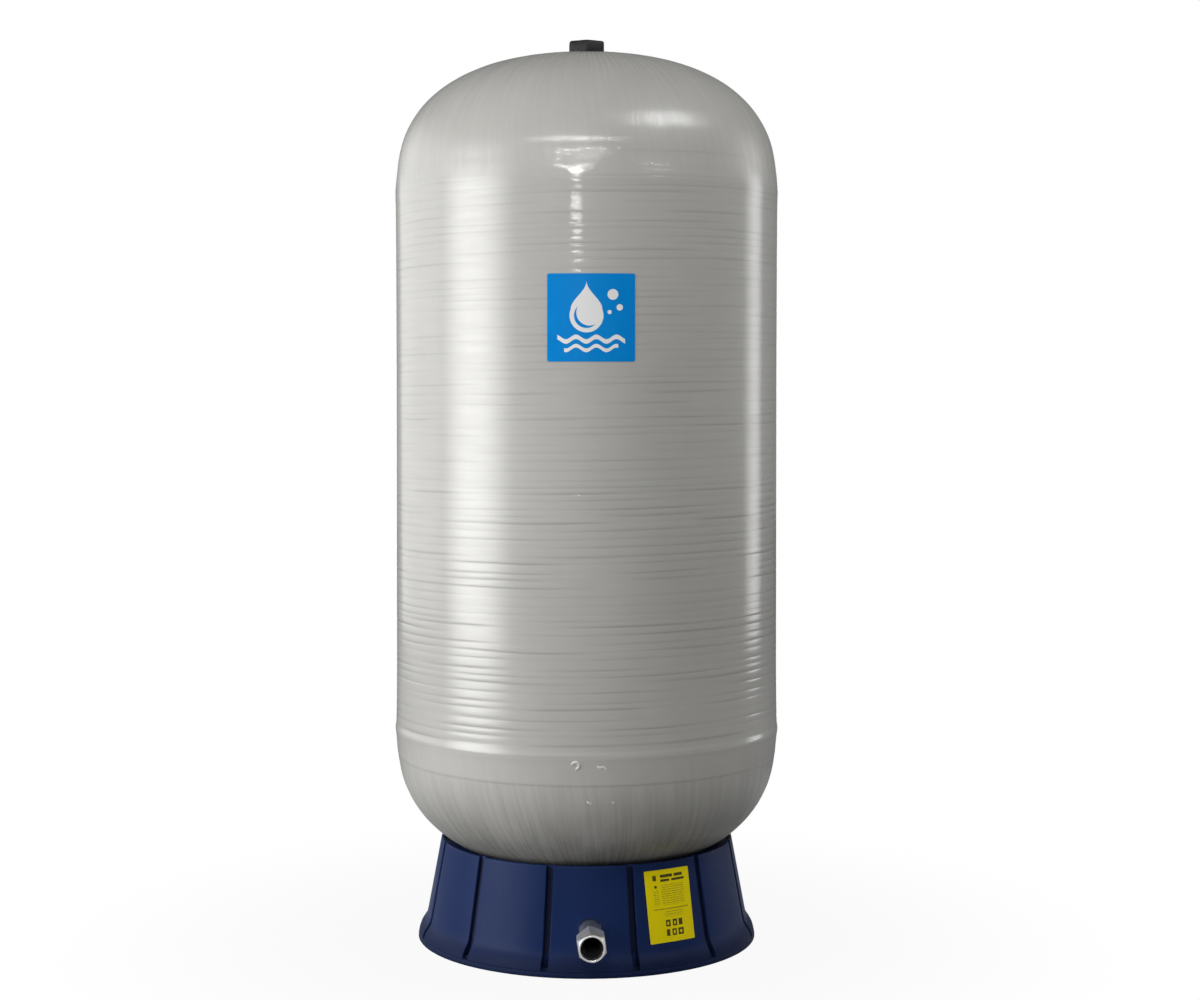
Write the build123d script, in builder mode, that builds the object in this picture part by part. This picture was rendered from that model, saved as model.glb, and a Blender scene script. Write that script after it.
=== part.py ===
from build123d import *
import math
import os

# A composite well pressure tank: a wound vessel with domed heads, standing in a moulded base.
# Millimetres, +Z up. The origin is on the floor, on the tank's axis, and the outlet points to -Y.

os.makedirs("parts", exist_ok=True)

# Clearances
bond_gap = 0.2  # between pieces that are bonded or bedded together
thread_gap = 0.1  # radial, between screwed pieces, whose threads are plain here
face_gap = 0.1  # between faces that are screwed or laid together
slide_gap = 0.15  # radial, round the valve core's seal and spring
turn_gap = 0.3  # between the screwed cap and what it turns on

# The wound vessel
vessel_radius = 305.0
vessel_wall = 9.0  # liner and glass-fibre laminate, bonded into one wall
barrel_length = 872.0  # from shoulder to shoulder
upper_head_height = 213.0
lower_head_height = 218.0
head_fullness = 2.41  # exponent of a head's outline, where 2 would be an ellipse
outside_stretches = 10
inside_stretches = 5

# The hoop winding round the barrel: how far from a shoulder, and how far it stands out there
lower_hoop = [(-22.0, 0.0), (7.0, 2.8), (18.0, 1.4), (100.0, 0.2)]
upper_hoop = [(-24.0, 0.0), (7.0, 2.8), (30.0, 2.0), (110.0, 1.4), (300.0, 0.5)]

# The moulded base
base_height = 160.0
foot_inset = 34.0  # of the base's foot inside the vessel's radius
rim_inset = 71.5  # of the base's rim inside the vessel's radius
base_wall = 5.0
rim_chamfer = 1.4
lip_height = 28.0
lip_round = 36.6
groove_count = 12
groove_width = 10.0
groove_depth = 4.0
groove_foot = 20.0  # height at which the grooves end

# The cradle ring inside the base, which carries the vessel
cradle_drop = 8.0  # from the rim down to the cradle ring's upper face
cradle_thickness = 6.0
seat_inset = 29.5  # from the base's rim in to where the vessel meets the ring's upper face
seat_width = 24.0
seat_depth = 18.0

# The water connection under the lower head
pipe_radius = 16.7
pipe_bore = 13.3
screw_depth = 17.0  # how far pipes are screwed in
fitting_flange_radius = 42.0
fitting_flange_thickness = 6.0
fitting_gasket_radius = 27.0
fitting_gasket_thickness = 3.0
washer_radius = 30.0
washer_thickness = 2.0
lock_nut_flats = 46.0
lock_nut_thickness = 6.0
elbow_drop = 1.4  # from the lock nut down to the elbow's upper end
elbow_reach = 37.0  # from the elbow's centre to each end
elbow_mitre = 12.0  # from the elbow's centre to each of its two mitres
elbow_body_radius = 18.5
elbow_collar_radius = 22.5
elbow_collar_length = 19.0
outlet_overhang = 45.0  # of the outlet's mouth beyond the vessel
coupling_length = 45.0
coupling_flats = 41.0
coupling_turn = 9.0  # degrees, to the left of upright, at which a corner of the coupling came to rest
coupling_chamfer_radius = 21.6
mouth_chamfer = 1.4
mouth_slope_length = 3.6
outlet_socket_depth = 22.0
outlet_socket_radius = 16.6
pipe_stop = 3.0
pipe_hole_gap = 2.0  # beside the pipe, where it passes through the base
pipe_hole_play = 8.0  # how far the pipe can sit higher or lower in its slot, end to end

# The diaphragm and the ring that clenches its bead to the wall
diaphragm_thickness = 3.0
diaphragm_gap = 0.4
diaphragm_lift = 5.0  # over the water fitting's flange
clench_height = 430.0  # above the lower shoulder
bead_thickness = 8.0
bead_height = 14.0
clench_ring_thickness = 2.5
clench_ring_height = 30.0

# The air valve in the upper head
valve_opening_radius = 24.0
boss_flange_radius = 50.0
boss_flange_thickness = 7.0
boss_thread_radius = 22.0
boss_rise = 10.0  # of the threaded boss over the head
boss_thread_chamfer = 1.0
boss_recess_radius = 13.0
boss_recess_depth = 8.0
cap_flats = 55.6
cap_rise = 24.0  # of the cap's top over the head
cap_lift = 0.6  # of the cap's underside over the head
cap_roof = 5.0
cap_chamfer = 3.5
cap_gasket_radius = 26.0
cap_gasket_width = 2.6
cap_gasket_thickness = 3.0
stem_radius = 6.0
stem_flange_radius = 11.0
stem_flange_thickness = 4.0
stem_gasket_thickness = 2.0
stem_tip_radius = 3.85
stem_tip_rise = 16.5  # of the stem's tip over the head
stem_thread_spare = 1.5  # of the stem over its nut
stem_nut_flats = 17.0
stem_nut_thickness = 5.0
core_radius = 2.5
core_length = 8.3
core_inset = 1.2  # of the core below the stem's tip
core_chamber_radius = 2.1
pin_radius = 0.7
pin_gap = 0.1
pin_head_radius = 1.0
pin_head_thickness = 0.7
pin_travel = 1.5
seal_thickness = 1.9
collar_thickness = 1.0
spring_wire = 0.35
spring_length = 9.0
spring_turns = 5

# The two stickers
sticker_thickness = 0.3
blue_sticker_side = 130.0
blue_sticker_round = 3.0
blue_sticker_drop = 215.0  # from the upper shoulder down to its centre
yellow_sticker_width = 80.0
yellow_sticker_length = 108.0
yellow_sticker_round = 1.5
yellow_sticker_drop = 64.0  # from the base's rim down to its centre
yellow_sticker_turn = 30.0  # degrees round from the outlet, on the next panel


def head_points(shoulder_z, radius, height, stretches, way):
    """A head's outline from its shoulder to its pole, in straight stretches of a full, flattened curve."""
    power = 2.0 / head_fullness
    points = []
    for step in range(stretches):
        turn = math.radians(90.0 * step / stretches)
        points.append((radius * math.cos(turn) ** power, shoulder_z + way * height * math.sin(turn) ** power))
    return points + [(0.0, shoulder_z + way * height)]


def surface_z(points, radius):
    """The height of a head's surface at a distance from the axis."""
    for (outer_r, outer_z), (inner_r, inner_z) in zip(points, points[1:]):
        if inner_r <= radius <= outer_r:
            return inner_z + (outer_z - inner_z) * (radius - inner_r) / (outer_r - inner_r)
    raise ValueError("outside the head")


# Sizes and heights, worked out from the base upwards
base_foot_radius = vessel_radius - foot_inset
base_rim_radius = vessel_radius - rim_inset
seat_radius = base_rim_radius - seat_inset
cradle_top_z = base_height - cradle_drop
hollow_radius = vessel_radius + bond_gap
hollow_depth = lower_head_height + bond_gap
hollow_below_shoulder = head_points(0.0, hollow_radius, hollow_depth, outside_stretches, -1)
lower_shoulder_z = cradle_top_z - surface_z(hollow_below_shoulder, seat_radius)
upper_shoulder_z = lower_shoulder_z + barrel_length
lining_radius = vessel_radius - vessel_wall
lower_lining_height = lower_head_height - vessel_wall
upper_lining_height = upper_head_height - vessel_wall

lower_outside = head_points(lower_shoulder_z, vessel_radius, lower_head_height, outside_stretches, -1)
upper_outside = head_points(upper_shoulder_z, vessel_radius, upper_head_height, outside_stretches, 1)
lower_inside = head_points(lower_shoulder_z, lining_radius, lower_lining_height, inside_stretches, -1)
upper_inside = head_points(upper_shoulder_z, lining_radius, upper_lining_height, inside_stretches, 1)
bottom_z = lower_shoulder_z - lower_head_height
top_z = upper_shoulder_z + upper_head_height

# The wound vessel: both heads, the hoop winding with its thick ends, and the two polar openings.
hoop_outline = [(vessel_radius + rise, lower_shoulder_z + along) for along, rise in lower_hoop]
hoop_outline += [(vessel_radius + rise, upper_shoulder_z - along) for along, rise in reversed(upper_hoop)]
fitting_opening_radius = pipe_radius + bond_gap
with BuildPart() as wound_shell:
    with BuildSketch(Plane.XZ):
        with BuildLine():
            Polyline(*reversed(lower_outside[1:]), *hoop_outline, *upper_outside[1:], close=True)
        make_face()
        with BuildLine():
            Polyline(*reversed(lower_inside), *upper_inside, close=True)
        make_face(mode=Mode.SUBTRACT)
    revolve(axis=Axis.Z)
    with BuildSketch(Plane.XY.offset(top_z - 2 * vessel_wall)):
        Circle(valve_opening_radius)
    extrude(amount=2 * vessel_wall, mode=Mode.SUBTRACT)
    with BuildSketch(Plane.XY.offset(bottom_z)):
        Circle(fitting_opening_radius)
    extrude(amount=2 * vessel_wall, mode=Mode.SUBTRACT)
wound_shell.part.label = "wound_shell"
export_step(wound_shell.part, "parts/wound_shell.step")


# The base: a conical moulded wall on a flared lip, fluted by twelve grooves.
lip_sweep = math.degrees(math.asin(lip_height / lip_round))
cone_foot_radius = base_foot_radius - lip_round * (1 - math.cos(math.radians(lip_sweep)))
cone_slope = (cone_foot_radius - base_rim_radius) / (base_height - lip_height)
cone_lean = math.atan(cone_slope)
wall_across = base_wall / math.cos(cone_lean)


def cone_radius(z):
    """The outside of the base's conical wall at a height."""
    return base_rim_radius + cone_slope * (base_height - z)


def wall_strip(outside, inside, low_z, high_z):
    """Corners of a strip along the conical wall, from a distance outside it to a distance inside it."""
    return [
        (cone_radius(low_z) + outside, low_z),
        (cone_radius(high_z) + outside, high_z),
        (cone_radius(high_z) - inside, high_z),
        (cone_radius(low_z) - inside, low_z),
    ]


def lip_points(inset, stretches):
    """The flared lip's outline from the floor up, at a distance inside its outer face."""
    points = []
    for step in range(stretches + 1):
        turn = math.radians(lip_sweep * step / stretches)
        out = (lip_round - inset) * math.cos(turn)
        points.append((base_foot_radius - lip_round + out, (lip_round - inset) * math.sin(turn)))
    return points


with BuildPart() as groove:
    with BuildSketch(Plane.XZ):
        with BuildLine():
            Polyline(*wall_strip(lip_round, groove_depth, groove_foot, base_height + base_wall), close=True)
        make_face()
    extrude(amount=groove_width / 2, both=True)

# Behind each groove the wall steps inwards, which keeps its thickness and makes a rest for the cradle.
lip_middle = lip_points(base_wall / 2, 2)[1:]
back_inset = groove_depth + wall_across
rest_z = cradle_top_z - cradle_thickness - face_gap
with BuildPart() as groove_back:
    with BuildSketch(Plane.XZ):
        with BuildLine():
            Polyline(
                *lip_middle,
                (cone_radius(rest_z) - base_wall / 2, rest_z),
                (cone_radius(rest_z) - back_inset, rest_z),
                (cone_radius(lip_middle[0][1]) - back_inset, lip_middle[0][1]),
                close=True,
            )
        make_face()
    extrude(amount=groove_width / 2 + base_wall, both=True)

# The water connection's heights, down through the lower head to the outlet
fitting_flange_z = surface_z(lower_inside, fitting_flange_radius) + face_gap
fitting_top_z = fitting_flange_z + fitting_flange_thickness
washer_top_z = surface_z(lower_outside, fitting_opening_radius) - face_gap
nut_top_z = washer_top_z - washer_thickness - face_gap
elbow_top_z = nut_top_z - lock_nut_thickness - elbow_drop
outlet_z = elbow_top_z - elbow_reach

first_groove = -90.0 + 180.0 / groove_count
with BuildPart() as base_skirt:
    with BuildSketch(Plane.XZ):
        with BuildLine():
            Polyline(
                *lip_points(0.0, 3),
                (base_rim_radius, base_height),
                (base_rim_radius - wall_across, base_height),
                *reversed(lip_points(base_wall, 2)),
                close=True,
            )
        make_face()
        chamfer(vertices().group_by(Axis.Y)[-1], rim_chamfer)
    revolve(axis=Axis.Z)
    with PolarLocations(0, groove_count, start_angle=first_groove):
        add(groove_back.part)
    with PolarLocations(0, groove_count, start_angle=first_groove):
        add(groove.part, mode=Mode.SUBTRACT)
    with BuildSketch(Plane.XZ):
        with Locations((0, outlet_z)):
            SlotCenterToCenter(pipe_hole_play, 2 * (pipe_radius + pipe_hole_gap), rotation=90)
    extrude(amount=base_foot_radius, mode=Mode.SUBTRACT)
base_skirt.part.label = "base_skirt"
export_step(base_skirt.part, "parts/base_skirt.step")


# The cradle ring: it lies on the backs of the grooves, and its dished seat takes the lower head.
cradle_outer_radius = cone_radius(cradle_top_z) - wall_across - bond_gap
seat_inner_radius = seat_radius - seat_width
with BuildPart() as base_cradle:
    with BuildSketch(Plane.XZ):
        with BuildLine():
            Polyline(
                (seat_inner_radius, cradle_top_z),
                (cradle_outer_radius, cradle_top_z),
                (cradle_outer_radius, cradle_top_z - cradle_thickness),
                (seat_radius + cradle_thickness, cradle_top_z - cradle_thickness),
                (seat_inner_radius, cradle_top_z - seat_depth),
                close=True,
            )
        make_face()
        with BuildLine():
            Polyline(
                *head_points(lower_shoulder_z, hollow_radius, hollow_depth, outside_stretches, -1),
                (0, lower_shoulder_z),
                close=True,
            )
        make_face(mode=Mode.SUBTRACT)
    revolve(axis=Axis.Z)
base_cradle.part.label = "base_cradle"
export_step(base_cradle.part, "parts/base_cradle.step")


# The water connection: a flanged spud through the lower head, its gasket, washer and lock nut.
gasket_bottom_z = surface_z(lower_inside, fitting_gasket_radius) + face_gap
gasket_top_z = gasket_bottom_z + fitting_gasket_thickness
with BuildPart() as water_fitting:
    with BuildSketch(Plane.XZ):
        with BuildLine():
            Polyline(
                (pipe_bore, fitting_top_z),
                (fitting_flange_radius, fitting_top_z),
                (fitting_flange_radius, fitting_flange_z),
                (fitting_gasket_radius + face_gap, fitting_flange_z),
                (fitting_gasket_radius + face_gap, gasket_top_z + face_gap),
                (pipe_radius, gasket_top_z + face_gap),
                (pipe_radius, elbow_top_z - screw_depth),
                (pipe_bore, elbow_top_z - screw_depth),
                close=True,
            )
        make_face()
    revolve(axis=Axis.Z)
water_fitting.part.label = "water_fitting"
export_step(water_fitting.part, "parts/water_fitting.step")

with BuildPart() as fitting_gasket:
    with BuildSketch(Plane.XY.offset(gasket_bottom_z)):
        Circle(fitting_gasket_radius)
        Circle(fitting_opening_radius, mode=Mode.SUBTRACT)
    extrude(amount=fitting_gasket_thickness)
fitting_gasket.part.label = "fitting_gasket"
export_step(fitting_gasket.part, "parts/fitting_gasket.step")

with BuildPart() as fitting_washer:
    with BuildSketch(Plane.XY.offset(washer_top_z)):
        Circle(washer_radius)
        Circle(pipe_radius + thread_gap, mode=Mode.SUBTRACT)
    extrude(amount=-washer_thickness)
fitting_washer.part.label = "fitting_washer"
export_step(fitting_washer.part, "parts/fitting_washer.step")

with BuildPart() as lock_nut:
    with BuildSketch(Plane.XY.offset(nut_top_z)):
        RegularPolygon(lock_nut_flats / 2, 6, major_radius=False)
        Circle(pipe_radius + thread_gap, mode=Mode.SUBTRACT)
    extrude(amount=-lock_nut_thickness)
lock_nut.part.label = "lock_nut"
export_step(lock_nut.part, "parts/lock_nut.step")


# The elbow: a quarter bend in two mitres, with a collar round each screwed end.
upper_end = Plane(origin=(0, 0, elbow_top_z), z_dir=(0, 0, -1))
front_end = Plane(origin=(0, -elbow_reach, outlet_z), z_dir=(0, 1, 0))
with BuildLine() as elbow_route:
    Polyline(
        (0, 0, elbow_top_z),
        (0, 0, outlet_z + elbow_mitre),
        (0, -elbow_mitre, outlet_z),
        (0, -elbow_reach, outlet_z),
    )
with BuildPart() as elbow:
    with BuildSketch(upper_end):
        Circle(elbow_body_radius)
    sweep(path=elbow_route.wires()[0], transition=Transition.RIGHT)
    for end in (upper_end, front_end):
        with BuildSketch(end):
            Circle(elbow_collar_radius)
        extrude(amount=elbow_collar_length)
    with BuildSketch(upper_end):
        Circle(pipe_bore)
    sweep(path=elbow_route.wires()[0], transition=Transition.RIGHT, mode=Mode.SUBTRACT)
    for end in (upper_end, front_end):
        with BuildSketch(end):
            Circle(pipe_radius + thread_gap)
        extrude(amount=screw_depth + face_gap, mode=Mode.SUBTRACT)
elbow.part.label = "elbow"
export_step(elbow.part, "parts/elbow.step")


# The outlet: a pipe that passes through the base, and the hexagonal coupling on its end.
outlet_reach = vessel_radius + outlet_overhang
pipe_start_y = screw_depth - elbow_reach
pipe_end_y = outlet_socket_depth + pipe_stop + face_gap - outlet_reach
with BuildPart() as outlet_pipe:
    with BuildSketch(Plane(origin=(0, pipe_start_y, outlet_z), z_dir=(0, -1, 0))):
        Circle(pipe_radius)
        Circle(pipe_bore, mode=Mode.SUBTRACT)
    extrude(amount=pipe_start_y - pipe_end_y)
outlet_pipe.part.label = "outlet_pipe"
export_step(outlet_pipe.part, "parts/outlet_pipe.step")

mouth = Plane(origin=(0, -outlet_reach, outlet_z), x_dir=(1, 0, 0), z_dir=(0, 1, 0))
coupling_side = Plane(origin=(0, -outlet_reach, outlet_z), x_dir=(1, 0, 0), z_dir=(0, 0, 1))
corner_radius = coupling_flats / math.sqrt(3) + face_gap
with BuildPart() as outlet_coupling:
    with BuildSketch(mouth):
        RegularPolygon(coupling_flats / 2, 6, major_radius=False, rotation=30 - coupling_turn)
    extrude(amount=coupling_length)
    with BuildSketch(coupling_side):
        with BuildLine():
            Polyline(
                (0, 0),
                (coupling_chamfer_radius - mouth_chamfer, 0),
                (coupling_chamfer_radius, mouth_chamfer),
                (corner_radius, mouth_chamfer + mouth_slope_length),
                (corner_radius, coupling_length - mouth_chamfer),
                (coupling_chamfer_radius, coupling_length),
                (0, coupling_length),
                close=True,
            )
        make_face()
    revolve(axis=Axis((0, -outlet_reach, outlet_z), (0, 1, 0)), mode=Mode.INTERSECT)
    with BuildSketch(mouth):
        Circle(outlet_socket_radius)
    extrude(amount=outlet_socket_depth, mode=Mode.SUBTRACT)
    with BuildSketch(mouth):
        Circle(pipe_bore)
    extrude(amount=coupling_length, mode=Mode.SUBTRACT)
    with BuildSketch(mouth.offset(outlet_socket_depth + pipe_stop)):
        Circle(pipe_radius + thread_gap)
    extrude(amount=coupling_length, mode=Mode.SUBTRACT)
outlet_coupling.part.label = "outlet_coupling"
export_step(outlet_coupling.part, "parts/outlet_coupling.step")


# The diaphragm: a rubber bowl that lines the lower half, pressed down flat by the air charge.
diaphragm_radius = lining_radius - diaphragm_gap
diaphragm_depth = lower_shoulder_z - (fitting_top_z + diaphragm_lift)
bowl_radius = diaphragm_radius - diaphragm_thickness
bowl_depth = diaphragm_depth - diaphragm_thickness
clench_z = lower_shoulder_z + clench_height
bowl_outside = head_points(lower_shoulder_z, diaphragm_radius, diaphragm_depth, inside_stretches, -1)
with BuildPart() as diaphragm:
    with BuildSketch(Plane.XZ):
        with BuildLine():
            Polyline(
                *reversed(bowl_outside),
                (diaphragm_radius, clench_z + bead_height / 2),
                (diaphragm_radius - bead_thickness, clench_z + bead_height / 2),
                (diaphragm_radius - bead_thickness, clench_z - bead_height / 2),
                (bowl_radius, clench_z - bead_height / 2),
                *head_points(lower_shoulder_z, bowl_radius, bowl_depth, inside_stretches, -1),
                close=True,
            )
        make_face()
    revolve(axis=Axis.Z)
diaphragm.part.label = "diaphragm"
export_step(diaphragm.part, "parts/diaphragm.step")

clench_radius = diaphragm_radius - bead_thickness - face_gap
with BuildPart() as clench_ring:
    with BuildSketch(Plane.XY.offset(clench_z - clench_ring_height / 2)):
        Circle(clench_radius)
        Circle(clench_radius - clench_ring_thickness, mode=Mode.SUBTRACT)
    extrude(amount=clench_ring_height)
clench_ring.part.label = "clench_ring"
export_step(clench_ring.part, "parts/clench_ring.step")


# The polar boss: a flange bonded under the upper head, and a threaded neck through its opening.
boss_flange_z = surface_z(upper_inside, boss_flange_radius) - bond_gap
boss_bottom_z = boss_flange_z - boss_flange_thickness
boss_neck_z = surface_z(upper_outside, valve_opening_radius)
boss_top_z = top_z + boss_rise
boss_recess_z = boss_top_z - boss_recess_depth
with BuildPart() as top_boss:
    with BuildSketch(Plane.XZ):
        with BuildLine():
            Polyline(
                (stem_radius + thread_gap, boss_bottom_z),
                (boss_flange_radius, boss_bottom_z),
                (boss_flange_radius, boss_flange_z),
                (valve_opening_radius - bond_gap, boss_flange_z),
                (valve_opening_radius - bond_gap, boss_neck_z),
                (boss_thread_radius, boss_neck_z),
                (boss_thread_radius, boss_top_z - boss_thread_chamfer),
                (boss_thread_radius - boss_thread_chamfer, boss_top_z),
                (boss_recess_radius, boss_top_z),
                (boss_recess_radius, boss_recess_z),
                (stem_radius + thread_gap, boss_recess_z),
                close=True,
            )
        make_face()
    revolve(axis=Axis.Z)
top_boss.part.label = "top_boss"
export_step(top_boss.part, "parts/top_boss.step")


# The hexagonal cap that covers the air valve, and the gasket in its underside.
cap_gasket_inner = cap_gasket_radius - cap_gasket_width
cap_gasket_z = surface_z(upper_outside, cap_gasket_inner) + face_gap
cap_groove_z = cap_gasket_z + cap_gasket_thickness + turn_gap
cap_bottom_z = top_z + cap_lift
cap_top_z = top_z + cap_rise
with BuildPart() as air_valve_cap:
    with BuildSketch(Plane.XY.offset(cap_bottom_z)):
        RegularPolygon(cap_flats / 2, 6, major_radius=False, rotation=30)
    extrude(amount=cap_top_z - cap_bottom_z)
    chamfer(faces().sort_by(Axis.Z)[-1].edges(), cap_chamfer)
    with BuildSketch(Plane.XY.offset(cap_bottom_z)):
        Circle(boss_thread_radius + turn_gap)
    extrude(amount=cap_top_z - cap_roof - cap_bottom_z, mode=Mode.SUBTRACT)
    with BuildSketch(Plane.XY.offset(cap_bottom_z)):
        Circle(cap_gasket_radius + turn_gap)
    extrude(amount=cap_groove_z - cap_bottom_z, mode=Mode.SUBTRACT)
air_valve_cap.part.label = "air_valve_cap"
export_step(air_valve_cap.part, "parts/air_valve_cap.step")

with BuildPart() as cap_gasket:
    with BuildSketch(Plane.XY.offset(cap_gasket_z)):
        Circle(cap_gasket_radius)
        Circle(cap_gasket_inner, mode=Mode.SUBTRACT)
    extrude(amount=cap_gasket_thickness)
cap_gasket.part.label = "cap_gasket"
export_step(cap_gasket.part, "parts/cap_gasket.step")


# The valve stem through the boss, its gasket and its nut.
stem_tip_z = top_z + stem_tip_rise
stem_nut_z = boss_recess_z + face_gap
stem_shoulder_z = stem_nut_z + stem_nut_thickness + stem_thread_spare
stem_gasket_z = boss_bottom_z - face_gap - stem_gasket_thickness
stem_flange_z = stem_gasket_z - face_gap
stem_bottom_z = stem_flange_z - stem_flange_thickness
core_top_z = stem_tip_z - core_inset
core_bottom_z = core_top_z - core_length
seal_top_z = core_bottom_z - face_gap
collar_top_z = seal_top_z - seal_thickness - face_gap
spring_top_z = collar_top_z - collar_thickness - face_gap
chamber_floor_z = spring_top_z - spring_length - face_gap
with BuildPart() as valve_stem:
    with BuildSketch(Plane.XZ):
        with BuildLine():
            Polyline(
                (pin_radius + pin_gap, stem_bottom_z),
                (stem_flange_radius, stem_bottom_z),
                (stem_flange_radius, stem_flange_z),
                (stem_radius, stem_flange_z),
                (stem_radius, stem_shoulder_z),
                (stem_tip_radius, stem_shoulder_z),
                (stem_tip_radius, stem_tip_z),
                (core_radius + thread_gap, stem_tip_z),
                (core_radius + thread_gap, core_bottom_z - face_gap),
                (core_chamber_radius, core_bottom_z - face_gap),
                (core_chamber_radius, chamber_floor_z),
                (pin_radius + pin_gap, chamber_floor_z),
                close=True,
            )
        make_face()
    revolve(axis=Axis.Z)
valve_stem.part.label = "valve_stem"
export_step(valve_stem.part, "parts/valve_stem.step")

with BuildPart() as stem_gasket:
    with BuildSketch(Plane.XY.offset(stem_gasket_z)):
        Circle(stem_flange_radius)
        Circle(stem_radius + thread_gap, mode=Mode.SUBTRACT)
    extrude(amount=stem_gasket_thickness)
stem_gasket.part.label = "stem_gasket"
export_step(stem_gasket.part, "parts/stem_gasket.step")

with BuildPart() as stem_nut:
    with BuildSketch(Plane.XY.offset(stem_nut_z)):
        RegularPolygon(stem_nut_flats / 2, 6, major_radius=False)
        Circle(stem_radius + thread_gap, mode=Mode.SUBTRACT)
    extrude(amount=stem_nut_thickness)
stem_nut.part.label = "stem_nut"
export_step(stem_nut.part, "parts/stem_nut.step")


# The valve core: a screwed barrel, and a pin whose seal a spring holds up against the barrel.
pin_pocket_z = core_top_z - pin_travel - face_gap
with BuildPart() as valve_core_barrel:
    with BuildSketch(Plane.XY.offset(core_bottom_z)):
        Circle(core_radius)
        Circle(pin_radius + pin_gap, mode=Mode.SUBTRACT)
    extrude(amount=core_length)
    with BuildSketch(Plane.XY.offset(pin_pocket_z)):
        Circle(pin_head_radius + slide_gap)
    extrude(amount=core_length, mode=Mode.SUBTRACT)
valve_core_barrel.part.label = "valve_core_barrel"
export_step(valve_core_barrel.part, "parts/valve_core_barrel.step")

collar_radius = core_chamber_radius - slide_gap
pin_foot_z = chamber_floor_z + pin_travel + face_gap
with BuildPart() as valve_core_pin:
    with BuildSketch(Plane.XZ):
        with BuildLine():
            Polyline(
                (0, core_top_z + pin_head_thickness),
                (pin_head_radius, core_top_z + pin_head_thickness),
                (pin_head_radius, core_top_z),
                (pin_radius, core_top_z),
                (pin_radius, collar_top_z),
                (collar_radius, collar_top_z),
                (collar_radius, collar_top_z - collar_thickness),
                (pin_radius, collar_top_z - collar_thickness),
                (pin_radius, pin_foot_z),
                (0, pin_foot_z),
                close=True,
            )
        make_face()
    revolve(axis=Axis.Z)
valve_core_pin.part.label = "valve_core_pin"
export_step(valve_core_pin.part, "parts/valve_core_pin.step")

with BuildPart() as valve_core_seal:
    with BuildSketch(Plane.XY.offset(seal_top_z)):
        Circle(collar_radius)
        Circle(pin_radius + face_gap / 2, mode=Mode.SUBTRACT)
    extrude(amount=-seal_thickness)
valve_core_seal.part.label = "valve_core_seal"
export_step(valve_core_seal.part, "parts/valve_core_seal.step")

spring_run = spring_length - spring_wire
spring_start = (0, 0, chamber_floor_z + face_gap + spring_wire / 2)
with BuildPart() as valve_core_spring:
    with BuildLine():
        coil = Helix(
            pitch=spring_run / spring_turns,
            height=spring_run,
            radius=collar_radius - spring_wire,
            center=spring_start,
        )
    with BuildSketch(Plane(origin=coil @ 0, z_dir=coil % 0)):
        Rectangle(spring_wire, spring_wire)
    sweep(is_frenet=True)
valve_core_spring.part.label = "valve_core_spring"
export_step(valve_core_spring.part, "parts/valve_core_spring.step")


# The blue sticker, bent round the front of the hoop winding.
blue_sticker_z = upper_shoulder_z - blue_sticker_drop
(hoop_low_radius, hoop_low_z), (hoop_high_radius, hoop_high_z) = hoop_outline[len(lower_hoop) :][:2]
blue_outer_gap = bond_gap + sticker_thickness
with BuildPart() as blue_sticker:
    with BuildSketch(Plane.XZ):
        with BuildLine():
            Polyline(
                (hoop_low_radius + bond_gap, hoop_low_z),
                (hoop_low_radius + blue_outer_gap, hoop_low_z),
                (hoop_high_radius + blue_outer_gap, hoop_high_z),
                (hoop_high_radius + bond_gap, hoop_high_z),
                close=True,
            )
        make_face()
    revolve(axis=Axis.Z)
    with BuildSketch(Plane.XZ):
        with Locations((0, blue_sticker_z)):
            RectangleRounded(blue_sticker_side, blue_sticker_side, blue_sticker_round)
    extrude(amount=2 * vessel_radius, mode=Mode.INTERSECT)
blue_sticker.part.label = "blue_sticker"
export_step(blue_sticker.part, "parts/blue_sticker.step")


# The yellow sticker, bent round one panel of the base.
yellow_sticker_z = base_height - yellow_sticker_drop
panel_turn = math.radians(yellow_sticker_turn - 90)
panel_out = (
    math.cos(panel_turn) * math.cos(cone_lean),
    math.sin(panel_turn) * math.cos(cone_lean),
    math.sin(cone_lean),
)
panel_middle = (
    cone_radius(yellow_sticker_z) * math.cos(panel_turn),
    cone_radius(yellow_sticker_z) * math.sin(panel_turn),
    yellow_sticker_z,
)
panel_side = (-math.sin(panel_turn), math.cos(panel_turn), 0)
panel_plane = Plane(origin=panel_middle, x_dir=panel_side, z_dir=panel_out)
with BuildPart() as yellow_sticker:
    with BuildSketch(Plane.XZ):
        with BuildLine():
            Polyline(
                *wall_strip(bond_gap + sticker_thickness, -bond_gap, lip_height, base_height - rim_chamfer),
                close=True,
            )
        make_face()
    revolve(axis=Axis.Z)
    with BuildSketch(panel_plane):
        RectangleRounded(yellow_sticker_width, yellow_sticker_length, yellow_sticker_round)
    extrude(amount=groove_width, both=True, mode=Mode.INTERSECT)
yellow_sticker.part.label = "yellow_sticker"
export_step(yellow_sticker.part, "parts/yellow_sticker.step")
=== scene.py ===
# %% [markdown]
# # A fibre-wound pressure tank
#
# This lesson dresses a well pressure tank in Blender. The tank is a tall vessel of glass fibre and
# resin, wound on a machine, that stands in a blue moulded base. Its shape, its size and its moving
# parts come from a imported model, which we load first and never change. Everything we make afterwards
# sits in that model's frame: metres, Z up, the outlet pipe pointing to -Y.

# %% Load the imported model
import math

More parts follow.
